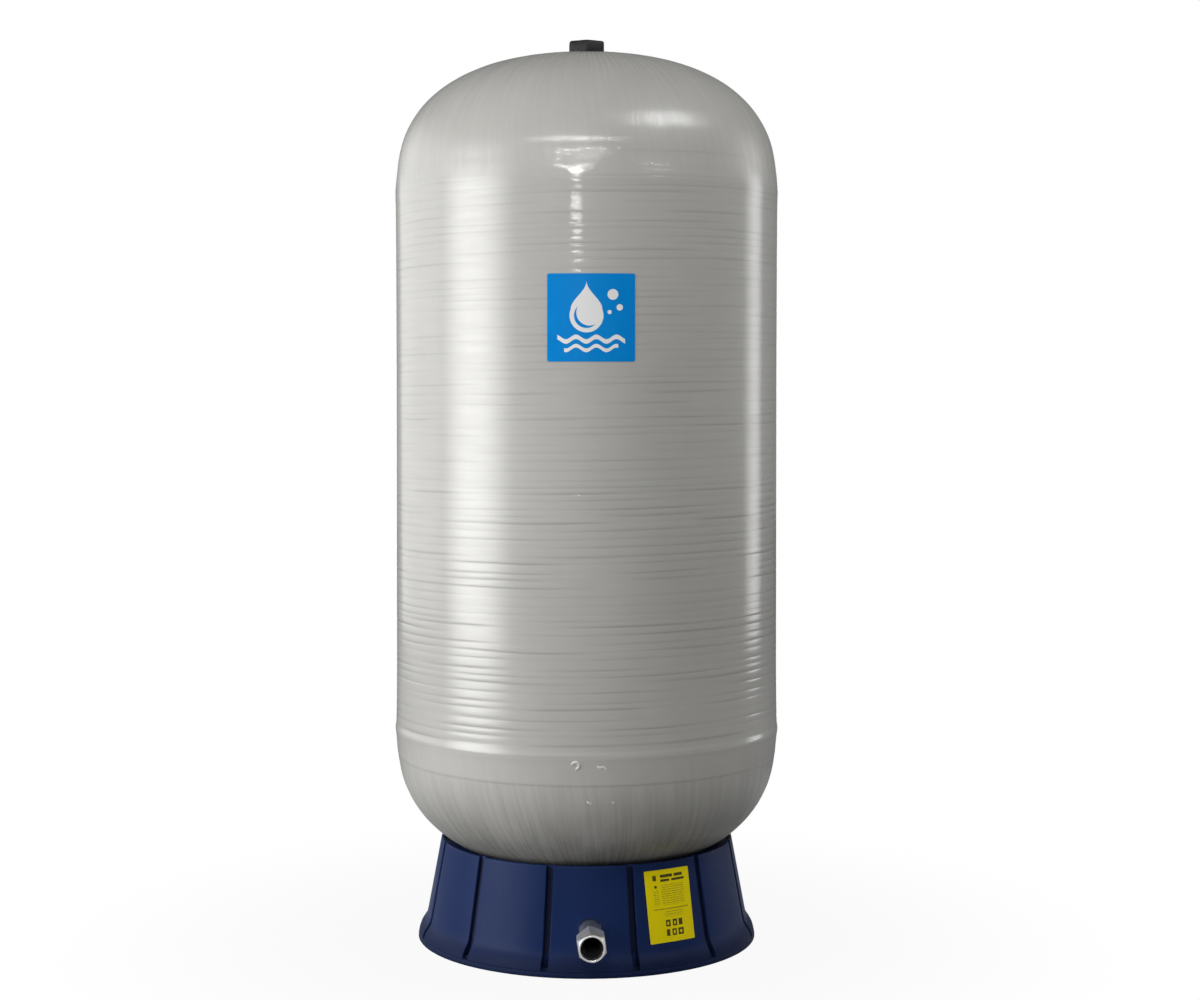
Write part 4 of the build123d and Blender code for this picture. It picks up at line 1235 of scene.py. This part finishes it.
# %% Steel for the pipe
pipe_steel, tree, shader = finish("pipe_steel", {"Metallic": 1.0})
marks = place(tree, grain_group, {"Size": 1.0, "Stretch": (120.0, 900.0, 120.0), "Contrast": 0.6})
clouds = place(tree, grain_group, {"Size": 26.0, "Contrast": 0.5})
color = tint(tree, clouds["Mask"], rgb(190, 190, 194), rgb(214, 214, 217))
spot = split(tree, object_place(tree))
on_top = spread(tree, spot["Z"], pipe_middle + 4.0 * mm, pipe_middle + 15.0 * mm)
near_socket = spread(tree, spot["Y"], -0.27, -0.30)
pink_tint_on_top = maths(tree, "MULTIPLY", on_top, maths(tree, "MULTIPLY", near_socket, 0.55))
# A pinkish red tint on the pipe's top, near the coupling.
color = tint(tree, pink_tint_on_top, color, rgb(196, 108, 110))
gloss = spread(tree, marks["Height"], 0.25, 0.75, 0.30, 0.48)
connect(tree, shader, color, gloss, marks["Height"], 0.00004)
print("Two steels are ready:", socket_steel.name, "and", pipe_steel.name)

# %% [markdown]
# ## The two stickers
#
# Stickers are thin printed film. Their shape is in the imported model, bent round the vessel and the
# base. The print could be a picture file, but shapes drawn by sums stay sharp at any distance. One
# group makes a box on the sticker and one makes a disc; each material adds them up. The motifs are
# our own and say nothing: a drop over waves in blue and white, and ruled fields on yellow.

# %% A printed box and a printed disc
box_group, given, result = group_tree(
    "Printed box",
    [
        ("Across", "Float", 0.0), ("Up", "Float", 0.0),
        ("Left", "Float", 0.0), ("Right", "Float", 0.0), ("Low", "Float", 0.0), ("High", "Float", 0.0),
    ],
    [("Mask", "Float")],
)
past_left = maths(box_group, "GREATER_THAN", given["Across"], given["Left"])
before_right = maths(box_group, "LESS_THAN", given["Across"], given["Right"])
over_low = maths(box_group, "GREATER_THAN", given["Up"], given["Low"])
under_high = maths(box_group, "LESS_THAN", given["Up"], given["High"])
inside_box = maths(box_group, "MULTIPLY", past_left, before_right)
inside_box = maths(box_group, "MULTIPLY", inside_box, over_low)
inside_box = maths(box_group, "MULTIPLY", inside_box, under_high)
box_group.links.new(inside_box, result["Mask"])

disc_group, given, result = group_tree(
    "Printed disc",
    [
        ("Across", "Float", 0.0), ("Up", "Float", 0.0),
        ("Middle Across", "Float", 0.0), ("Middle Up", "Float", 0.0), ("Radius", "Float", 1.0),
    ],
    [("Mask", "Float")],
)
off_across = maths(disc_group, "SUBTRACT", given["Across"], given["Middle Across"])
off_up = maths(disc_group, "SUBTRACT", given["Up"], given["Middle Up"])
off = maths(disc_group, "MULTIPLY", off_across, off_across)
off = maths(disc_group, "ADD", off, maths(disc_group, "MULTIPLY", off_up, off_up))
off = maths(disc_group, "SQRT", off)
disc_group.links.new(maths(disc_group, "LESS_THAN", off, given["Radius"]), result["Mask"])
print("Groups:", box_group.name, "and", disc_group.name)

# %% [markdown]
# To draw on a sticker one has to know where one is on it. An unwrapped mesh would tell, but the
# packed stickers have none, and their meshes aren't ours to change. Their place in space tells as
# well: so far to the side of the sticker's middle, and so far above it.

# %% Where one is on a sticker, in millimetres
def on_sticker(tree, middle, side, stretch_up=1.0):
    """Two sockets: the distance across and up from the sticker's middle, in millimetres."""
    from_middle = vectors(tree, "SUBTRACT", object_place(tree), middle)
    across = vectors(tree, "DOT_PRODUCT", from_middle, side)
    up = split(tree, from_middle)["Z"]
    return maths(tree, "MULTIPLY", across, 1000.0), maths(tree, "MULTIPLY", up, 1000.0 * stretch_up)


def either(tree, masks):
    """One mask from several: wherever any of them is."""
    total = masks[0]
    for mask in masks[1:]:
        total = maths(tree, "MAXIMUM", total, mask)
    return total


def boxes(tree, across, up, corners):
    """One mask from a list of boxes (left, right, low, high), in millimetres."""
    made = []
    for left, right, low, high in corners:
        sockets = {"Across": across, "Up": up, "Left": left, "Right": right, "Low": low, "High": high}
        made.append(place(tree, box_group, sockets)["Mask"])
    return either(tree, made)


def disc(tree, across, up, middle_across, middle_up, radius):
    """One round mask, by its middle and its radius, in millimetres."""
    sockets = {"Across": across, "Up": up, "Middle Across": middle_across, "Middle Up": middle_up}
    return place(tree, disc_group, {**sockets, "Radius": radius})["Mask"]


print("Prints are drawn with boxes and discs, in millimetres")

# %% [markdown]
# The blue sticker's motif is a drop of water over two waves, with three small bubbles. The drop is a
# disc with a tip that narrows upward, and a crescent of light is left out of it. The film is clean,
# and its gloss is slightly uneven, as that of thin film on a hard wall is.

# %% The blue sticker: a drop over two waves
blue_film, tree, shader = finish("blue_film", {"IOR": 1.46, "Specular IOR Level": 0.14})
(_, _, blue_low), (_, _, blue_high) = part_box("blue_sticker")
across, up = on_sticker(tree, (0.0, 0.0, (blue_low + blue_high) / 2), (1.0, 0.0, 0.0))
body_of_drop = disc(tree, across, up, -7.0, 3.0, 25.0)
up_the_tip = spread(tree, up, 13.0, 55.0, 1.0, 0.0)
tip_width = maths(tree, "MULTIPLY", maths(tree, "POWER", up_the_tip, 1.15), 23.2)
off_tip = maths(tree, "ABSOLUTE", maths(tree, "ADD", across, 7.0))
tip_of_drop = maths(tree, "LESS_THAN", off_tip, tip_width)
tip_of_drop = maths(tree, "MULTIPLY", tip_of_drop, maths(tree, "GREATER_THAN", up, 12.0))
beside_glint = maths(tree, "SUBTRACT", 1.0, disc(tree, across, up, -2.5, 7.5, 19.5))
glint = maths(tree, "MULTIPLY", disc(tree, across, up, -7.0, 3.0, 18.5), beside_glint)
drop = maths(tree, "SUBTRACT", either(tree, [body_of_drop, tip_of_drop]), glint)
waves = []
for level, thick, reach in ((-32.0, 3.4, 50.0), (-45.0, 2.8, 40.0)):
    swell = maths(tree, "MULTIPLY", maths(tree, "SINE", maths(tree, "MULTIPLY", across, 0.21)), 3.4)
    off_wave = maths(tree, "ABSOLUTE", maths(tree, "SUBTRACT", up, maths(tree, "ADD", swell, level)))
    in_reach = maths(tree, "LESS_THAN", maths(tree, "ABSOLUTE", across), reach)
    waves.append(maths(tree, "MULTIPLY", maths(tree, "LESS_THAN", off_wave, thick), in_reach))
bubble_places = ((32.0, 34.0, 8.0), (42.0, 15.0, 4.8), (27.0, 8.0, 3.2))
bubbles = [disc(tree, across, up, x, y, size) for x, y, size in bubble_places]
white_print = either(tree, [drop] + waves + bubbles)
clouds = place(tree, grain_group, {"Size": 30.0, "Contrast": 0.7})
film = tint(tree, clouds["Mask"], (0.0004, 0.262, 0.760, 1.0), (0.0008, 0.285, 0.800, 1.0))
film = tint(tree, white_print, film, (0.95, 0.95, 0.95, 1.0))
fine = place(tree, grain_group, {"Size": 60.0, "Contrast": 0.6})
gloss = spread(tree, clouds["Height"], 0.3, 0.7, 0.28, 0.38)
connect(tree, shader, film, gloss, fine["Height"], 0.00001)
print("The blue film takes", len(tree.nodes), "nodes")

# %% [markdown]
# The yellow sticker is a plate of ruled fields: dark bars for a heading, rows broken by noise for fine
# print, and small squares below. They have the greyness and the rhythm of print, and spell nothing.
# The sticker lies on the cone, so its height is measured along the slope.

# %% The yellow sticker: ruled fields only
yellow_film, tree, shader = finish("yellow_film", {"IOR": 1.46, "Specular IOR Level": 0.2})
label_turn = math.radians(30.0 - 90.0)
label_height = 96.0 * mm
label_radius = cone_at(label_height)
label_middle = (label_radius * math.cos(label_turn), label_radius * math.sin(label_turn), label_height)
label_side = (-math.sin(label_turn), math.cos(label_turn), 0.0)
across, up = on_sticker(tree, label_middle, label_side, 1.0 / math.cos(math.atan(cone_slope)))
heading = boxes(
    tree, across, up,
    [
        (-27.0, -21.0, 38.0, 46.0), (-14.0, 8.0, 42.0, 46.5), (11.0, 27.0, 42.0, 46.5),
        (-14.0, 2.0, 36.0, 39.5), (6.0, 30.0, 36.0, 39.5), (-25.0, -21.0, 27.0, 31.0),
    ],
)
marks_below = boxes(
    tree, across, up,
    [
        (-11.0, -3.0, -31.0, -21.0), (1.0, 9.0, -31.0, -21.0), (12.0, 19.0, -31.0, -21.0),
        (-11.0, -5.0, -45.0, -35.0), (-1.0, 7.0, -45.0, -35.0), (10.0, 20.0, -45.0, -35.0),
    ],
)
inner_marks = boxes(
    tree, across, up,
    [
        (-8.6, -5.8, -28.5, -24.0), (3.6, 6.4, -28.5, -24.0),
        (1.6, 4.6, -42.5, -37.5), (13.0, 17.0, -42.0, -38.0),
    ],
)
rule = boxes(tree, across, up, [(-30.0, 33.0, -5.2, -4.0)])
print("The heading and the marks are drawn with boxes")

# %% [markdown]
# Fine print is a few rows to the centimetre, each broken into dashes of different lengths. Boxes would
# do, but it would take a hundred of them. Noise does it at once: the row's number, which changes in
# steps, and the place along it give a value that is the same all through a row's height, and where
# it is high there is a dash.

# %% Rows that look like fine print
print_zone = boxes(
    tree, across, up,
    [(-14.0, 27.0, 1.0, 31.0), (-28.0, -18.0, 1.0, 24.0), (-12.0, 22.0, -16.0, -8.0)],
)
rows_up = maths(tree, "MULTIPLY", up, 0.30)
in_a_row = maths(tree, "LESS_THAN", maths(tree, "FRACT", rows_up), 0.45)
dash_place = put(
    tree,
    "CombineXYZ",
    None,
    {0: maths(tree, "MULTIPLY", across, 0.42), 1: maths(tree, "FLOOR", rows_up)},
).outputs[0]
dashes = maths(tree, "GREATER_THAN", noise(tree, dash_place, 1.0, 1.0), 0.44)
fine_rows = maths(tree, "MULTIPLY", print_zone, maths(tree, "MULTIPLY", in_a_row, dashes))
clouds = place(tree, grain_group, {"Size": 40.0, "Contrast": 0.7})
paper = tint(tree, clouds["Mask"], (0.98, 0.80, 0.0010, 1.0), (1.0, 0.84, 0.0020, 1.0))
paper = lay(tree, paper, fine_rows, 0.55, (0.20, 0.18, 0.02, 1.0))
paper = lay(tree, paper, rule, 0.75, (0.05, 0.05, 0.02, 1.0))
ink = maths(tree, "SUBTRACT", either(tree, [heading, marks_below]), inner_marks)
paper = lay(tree, paper, ink, 0.92, (0.012, 0.013, 0.016, 1.0))
fine = place(tree, grain_group, {"Size": 160.0, "Contrast": 0.6})
gloss = spread(tree, clouds["Height"], 0.3, 0.7, 0.34, 0.46)
connect(tree, shader, paper, gloss, fine["Height"], 0.00003)
print("The yellow film takes", len(tree.nodes), "nodes")

# %% [markdown]
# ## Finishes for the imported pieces
#
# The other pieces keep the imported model's shape. Most are seen only from below, through the base, or
# when the cap is lifted off the valve, but each gets the finish of what it is made of.

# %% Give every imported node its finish
black_plastic = moulded(
    "fitting_black", rgb(26, 26, 28), rgb(38, 38, 40), rgb(84, 84, 86), 0.45, 500.0, 0.00008
)
rubber = moulded(
    "seal_rubber", rgb(20, 20, 20), rgb(31, 30, 30), rgb(56, 55, 54), 0.68, 700.0, 0.00005, 0.25, 0.3
)
butyl = moulded(
    "diaphragm_rubber", rgb(34, 34, 36), rgb(48, 48, 50), rgb(74, 73, 72), 0.62, 260.0, 0.00010, 0.2, 0.3
)
water_stain, brass_stain = rgb(128, 122, 110), rgb(110, 84, 46)
zinc = metal(
    "washer_steel", rgb(160, 161, 164), rgb(190, 191, 194), 0.34, (300.0, 300.0, 60.0), 0.00003,
    water_stain, 0.3,
)
clench = metal(
    "clench_steel", rgb(150, 151, 155), rgb(184, 185, 188), 0.30, (60.0, 60.0, 700.0), 0.00004
)
brass = metal(
    "valve_brass", rgb(176, 140, 72), rgb(212, 176, 104), 0.28, (240.0, 240.0, 900.0), 0.00002,
    brass_stain, 0.35,
)
spring = metal(
    "spring_steel", rgb(160, 161, 166), rgb(196, 197, 200), 0.26, (500.0, 500.0, 200.0), 0.00001
)
print(len(bpy.data.materials), "materials so far")

# %% [markdown]
# Each imported node gets the finish of what the real part is made of. The replaced nodes get theirs
# too: nobody sees them here, but without our pieces they still make a finished tank.

# %% Hand the finishes out
finishes = {
    "wound_shell": laminate,
    "base_skirt": navy,
    "base_cradle": navy,
    "water_fitting": black_plastic,
    "fitting_gasket": rubber,
    "fitting_washer": zinc,
    "lock_nut": black_plastic,
    "elbow": black_plastic,
    "outlet_pipe": pipe_steel,
    "outlet_coupling": socket_steel,
    "diaphragm": butyl,
    "clench_ring": clench,
    "top_boss": black_plastic,
    "air_valve_cap": cap_black,
    "cap_gasket": rubber,
    "valve_stem": brass,
    "stem_gasket": rubber,
    "stem_nut": brass,
    "valve_core_barrel": brass,
    "valve_core_pin": brass,
    "valve_core_seal": rubber,
    "valve_core_spring": spring,
    "blue_sticker": blue_film,
    "yellow_sticker": yellow_film,
}
for node, material in finishes.items():
    for material_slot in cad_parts[node].material_slots:
        material_slot.link = "OBJECT"
        material_slot.material = material
print(len(finishes), "nodes have a finish;", sorted(set(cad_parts) - set(finishes)), "have none")

# %% [markdown]
# ## The valve core's spring
#
# Deep in the valve a small spring pushes the pin up. Ours replaces the imported one: a ring of points
# carried along a helix, closed at both ends. Like the imported one, it keeps its length when the pin is
# pressed.

# %% The spring
(_, _, spring_low), (spring_reach, _, spring_high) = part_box("valve_core_spring")
wire_radius, spring_turns, pin_travel = 0.17 * mm, 5, 1.5 * mm
along_wire = np.linspace(0.0, 1.0, spring_turns * 36)
coil_turn = 2.0 * math.pi * spring_turns * along_wire
coil_out = np.stack([np.cos(coil_turn), np.sin(coil_turn), np.zeros_like(coil_turn)], axis=-1)
coil_rise = spring_low + wire_radius + along_wire * (spring_high - spring_low - 2.0 * wire_radius)
coil_middle = (spring_reach - wire_radius) * coil_out
coil_middle[:, 2] = coil_rise
wire_turn = np.linspace(0.0, 2.0 * math.pi, 12, endpoint=False)[None, :, None]
upright = np.array([0.0, 0.0, 1.0])
wire_rings = np.cos(wire_turn) * coil_out[:, None, :] + np.sin(wire_turn) * upright
spring_rings = coil_middle[:, None, :] + wire_radius * wire_rings
spring_mesh = grid_mesh("core_spring", spring_rings, close_rows=False)
wire_ends = bmesh.new()
wire_ends.from_mesh(spring_mesh)
bmesh.ops.holes_fill(wire_ends, edges=wire_ends.edges)
bmesh.ops.recalc_face_normals(wire_ends, faces=wire_ends.faces)
wire_ends.to_mesh(spring_mesh)
wire_ends.free()
core_spring = add_piece(
    "core_spring", spring_mesh, spring, "tank", ["valve_core_spring"], 60.0
)
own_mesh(core_spring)

# %% [markdown]
# ## The studio
#
# The picture was taken against white. A large soft window stood to the left with a weak reflector
# behind it, a narrower window behind on the right, a long lamp and a wide one hung overhead, and a few
# small lamps stood near the camera. On a glossy cylinder each of them is a band of light, and where
# the bands lie tells where the lamps were: light that glances off the side at an angle t comes from an
# angle of 2t.
#
# The floor and the surroundings look white to the camera, but light the tank no more than a pale room
# would. That could be had with more lamps, which would bleach the tank; telling the kinds of ray apart
# in the material leaves its colours alone.

# %% White where it is seen
def white_where_seen(tree, plain, seen, amount, in_mirrors):
    """Mixes a plain shader with white light, for the camera, through glass, and in part for mirrors."""
    paths = put(tree, "LightPath").outputs
    rays = maths(tree, "MAXIMUM", paths["Is Camera Ray"], paths["Is Transmission Ray"])
    rays = maths(tree, "MAXIMUM", rays, maths(tree, "MULTIPLY", paths["Is Glossy Ray"], in_mirrors))
    share = maths(tree, "MULTIPLY", rays, amount)
    return put(tree, "MixShader", None, {0: share, 1: plain, 2: seen}).outputs[0]


print("White shows to the camera, through glass, and in part in mirrors")

# %% [markdown]
# The floor is one large square. A real studio has a curved sheet of paper that rises at the back;
# this floor is white to the camera wherever it ends, so a flat one does. From below it is clear, so
# that the base can be looked into, and under the base it lets light through for the same reason, but
# keeps its shadow round the foot.

# %% The floor
floor_mesh = bpy.data.meshes.new("studio_floor")
floor_reach = 9.0
floor_mesh.from_pydata(
    [(floor_reach * x, floor_reach * y, 0) for x, y in ((-1, -1), (1, -1), (1, 1), (-1, 1))],
    [],
    [(0, 1, 2, 3)],
)
floor = bpy.data.objects.new("studio_floor", floor_mesh)
floor.location = (0.0, 0.0, -0.0005)
scene.collection.objects.link(floor)
floor_paint, tree, shader = finish(
    "studio_floor", {"Base Color": (0.21, 0.21, 0.21, 1.0), "Roughness": 0.9, "Specular IOR Level": 0.1}
)
distance_out = vectors(tree, "LENGTH", object_place(tree))
foot_edge, under_foot = 0.266, 0.262
far_out = spread(tree, distance_out, 0.3, 0.95, 0.94, 1.0)
far_out = maths(tree, "MULTIPLY", far_out, maths(tree, "GREATER_THAN", distance_out, foot_edge))
glow = put(tree, "Emission", None, {"Color": (1.0, 1.0, 1.0, 1.0), "Strength": 1.0})
close_by = spread(tree, distance_out, 0.8, 1.4, 0.4, 0.1)
shown = white_where_seen(tree, shader.outputs[0], glow.outputs[0], far_out, close_by)
not_seen = maths(tree, "SUBTRACT", 1.0, put(tree, "LightPath").outputs["Is Camera Ray"])
light_only = maths(tree, "MULTIPLY", maths(tree, "LESS_THAN", distance_out, under_foot), not_seen)
from_below = put(tree, "NewGeometry").outputs["Backfacing"]
see_through = maths(tree, "MAXIMUM", from_below, light_only)
clear_below = put(tree, "BsdfTransparent").outputs[0]
shown = put(tree, "MixShader", None, {0: see_through, 1: shown, 2: clear_below}).outputs[0]
tree.links.new(shown, tree.nodes["Material Output"].inputs["Surface"])
floor_mesh.materials.append(floor_paint)
print("The floor is", 2.0 * floor_reach, "m wide")

# %% [markdown]
# The world is all that surrounds the scene. It gives a weak, slightly warm light from everywhere, as
# the walls of a room do, and it is white where the camera looks past the tank. A picture of a room
# would be livelier, but its shapes would show in the glossy skin.

# %% The surroundings
world = bpy.data.worlds.new("studio")
scene.world = world
world.use_nodes = True
tree = world.node_tree
room = tree.nodes["Background"]
room.inputs["Color"].default_value = (1.0, 0.99, 0.97, 1.0)
room.inputs["Strength"].default_value = 0.145
white = put(tree, "Background", None, {"Color": (1.0, 1.0, 1.0, 1.0), "Strength": 1.0})
shown = white_where_seen(tree, room.outputs[0], white.outputs[0], 1.0, 0.08)
tree.links.new(shown, tree.nodes["World Output"].inputs["Surface"])
print("The room's own light has a strength of", room.inputs["Strength"].default_value)

# %% [markdown]
# A softbox is a lamp behind a cloth. The cloth is brightest in its middle, and a glossy wall shows
# that: the band of light has soft edges. A plain area lamp is as bright at its edge as in its middle,
# so where we need it, the lamp's own material dims it towards its sides, its top and its foot.

# %% A softbox
aim_height = 0.75


def softbox(name, turn, distance, height, width, tall, strength, fades=(0.0, 0.0, 0.0)):
    """A soft lamp at an angle round the tank from the camera's side, facing its axis.

    Its light fades towards its sides, its top and its foot, over these shares of its own size.
    """
    light = bpy.data.lights.new(name, "AREA")
    light.shape = "RECTANGLE"
    light.size, light.size_y = width, tall
    light.energy = strength * width * tall * math.pi
    if max(fades) > 0.0:
        light.use_nodes = True
        tree = light.node_tree
        on_lamp = split(tree, put(tree, "NewGeometry").outputs["Parametric"])
        side, top, foot = (max(share, 0.001) for share in fades)
        off_middle = maths(tree, "ABSOLUTE", maths(tree, "SUBTRACT", on_lamp["X"], 0.5))
        at_sides = spread(tree, off_middle, 0.5, 0.5 - side)
        at_top = spread(tree, on_lamp["Y"], 1.0, 1.0 - top)
        at_foot = spread(tree, on_lamp["Y"], 0.0, foot)
        kept = maths(tree, "MULTIPLY", maths(tree, "MULTIPLY", at_sides, at_top), at_foot)
        tree.links.new(kept, tree.nodes["Emission"].inputs["Strength"])
    lamp = bpy.data.objects.new(name, light)
    around_z = math.radians(turn)
    lamp.location = (distance * math.sin(around_z), -distance * math.cos(around_z), height)
    aim = math.atan2(aim_height - height, distance)
    lamp.rotation_euler = (math.pi / 2 + aim, 0.0, around_z)
    scene.collection.objects.link(lamp)
    print(name, "stands", distance, "m away, at", turn, "degrees")


print("A softbox's numbers: angle, distance, height, width, height of the cloth, strength, fades")

# %% [markdown]
# Each lamp was placed from the band that it leaves on the tank. The two windows make the broad bands
# on the sides, the reflector lifts the left edge, and the two overhead lamps make the bows of light
# on the upper dome. The small spot leaves the short dash on the dome's right.

# %% The lamps, from the left round to the right, then the high ones
softbox("left_window", -67.0, 2.6, 1.20, 2.75, 2.62, 6.0, (0.46, 0.50, 0.05))
softbox("left_reflector", -119.0, 2.6, 1.25, 3.2, 2.5, 0.85, (0.2, 0.3, 0.1))
softbox("right_window", 112.0, 2.6, 1.28, 1.25, 2.5, 2.6, (0.48, 0.40, 0.08))
softbox("long_overhead_lamp", -9.0, 2.9, 2.6, 2.4, 0.16, 19.0, (0.3, 0.3, 0.3))
softbox("wide_overhead_lamp", 55.0, 2.2, 3.2, 2.5, 1.1, 9.0, (0.45, 0.4, 0.4))
softbox("side_spot", 40.0, 3.5, 2.0, 0.35, 0.05, 22.0)

# %% [markdown]
# A few small bare lamps stood one above the other near the camera. They are too small to light much,
# but a glossy tank mirrors each of them, so a line of sparkles runs down its front.

# %% The column of small lamps
small_lamps = [
    (2.30, 0.05, 0.22, 170.0),
    (1.96, 0.05, 0.24, 170.0),
    (1.74, 0.03, 0.20, 60.0),
    (1.39, 0.018, 0.34, 60.0),
    (1.295, 0.015, 0.30, 48.0),
]
column_turn, zigzag, column_distance = -6.3, 1.2, 3.6
for number, (height, tall, across, strength) in enumerate(small_lamps):
    angle = column_turn - zigzag * (number % 2)
    softbox("small_lamp_%d" % (number + 1), angle, column_distance, height, across, tall, strength)
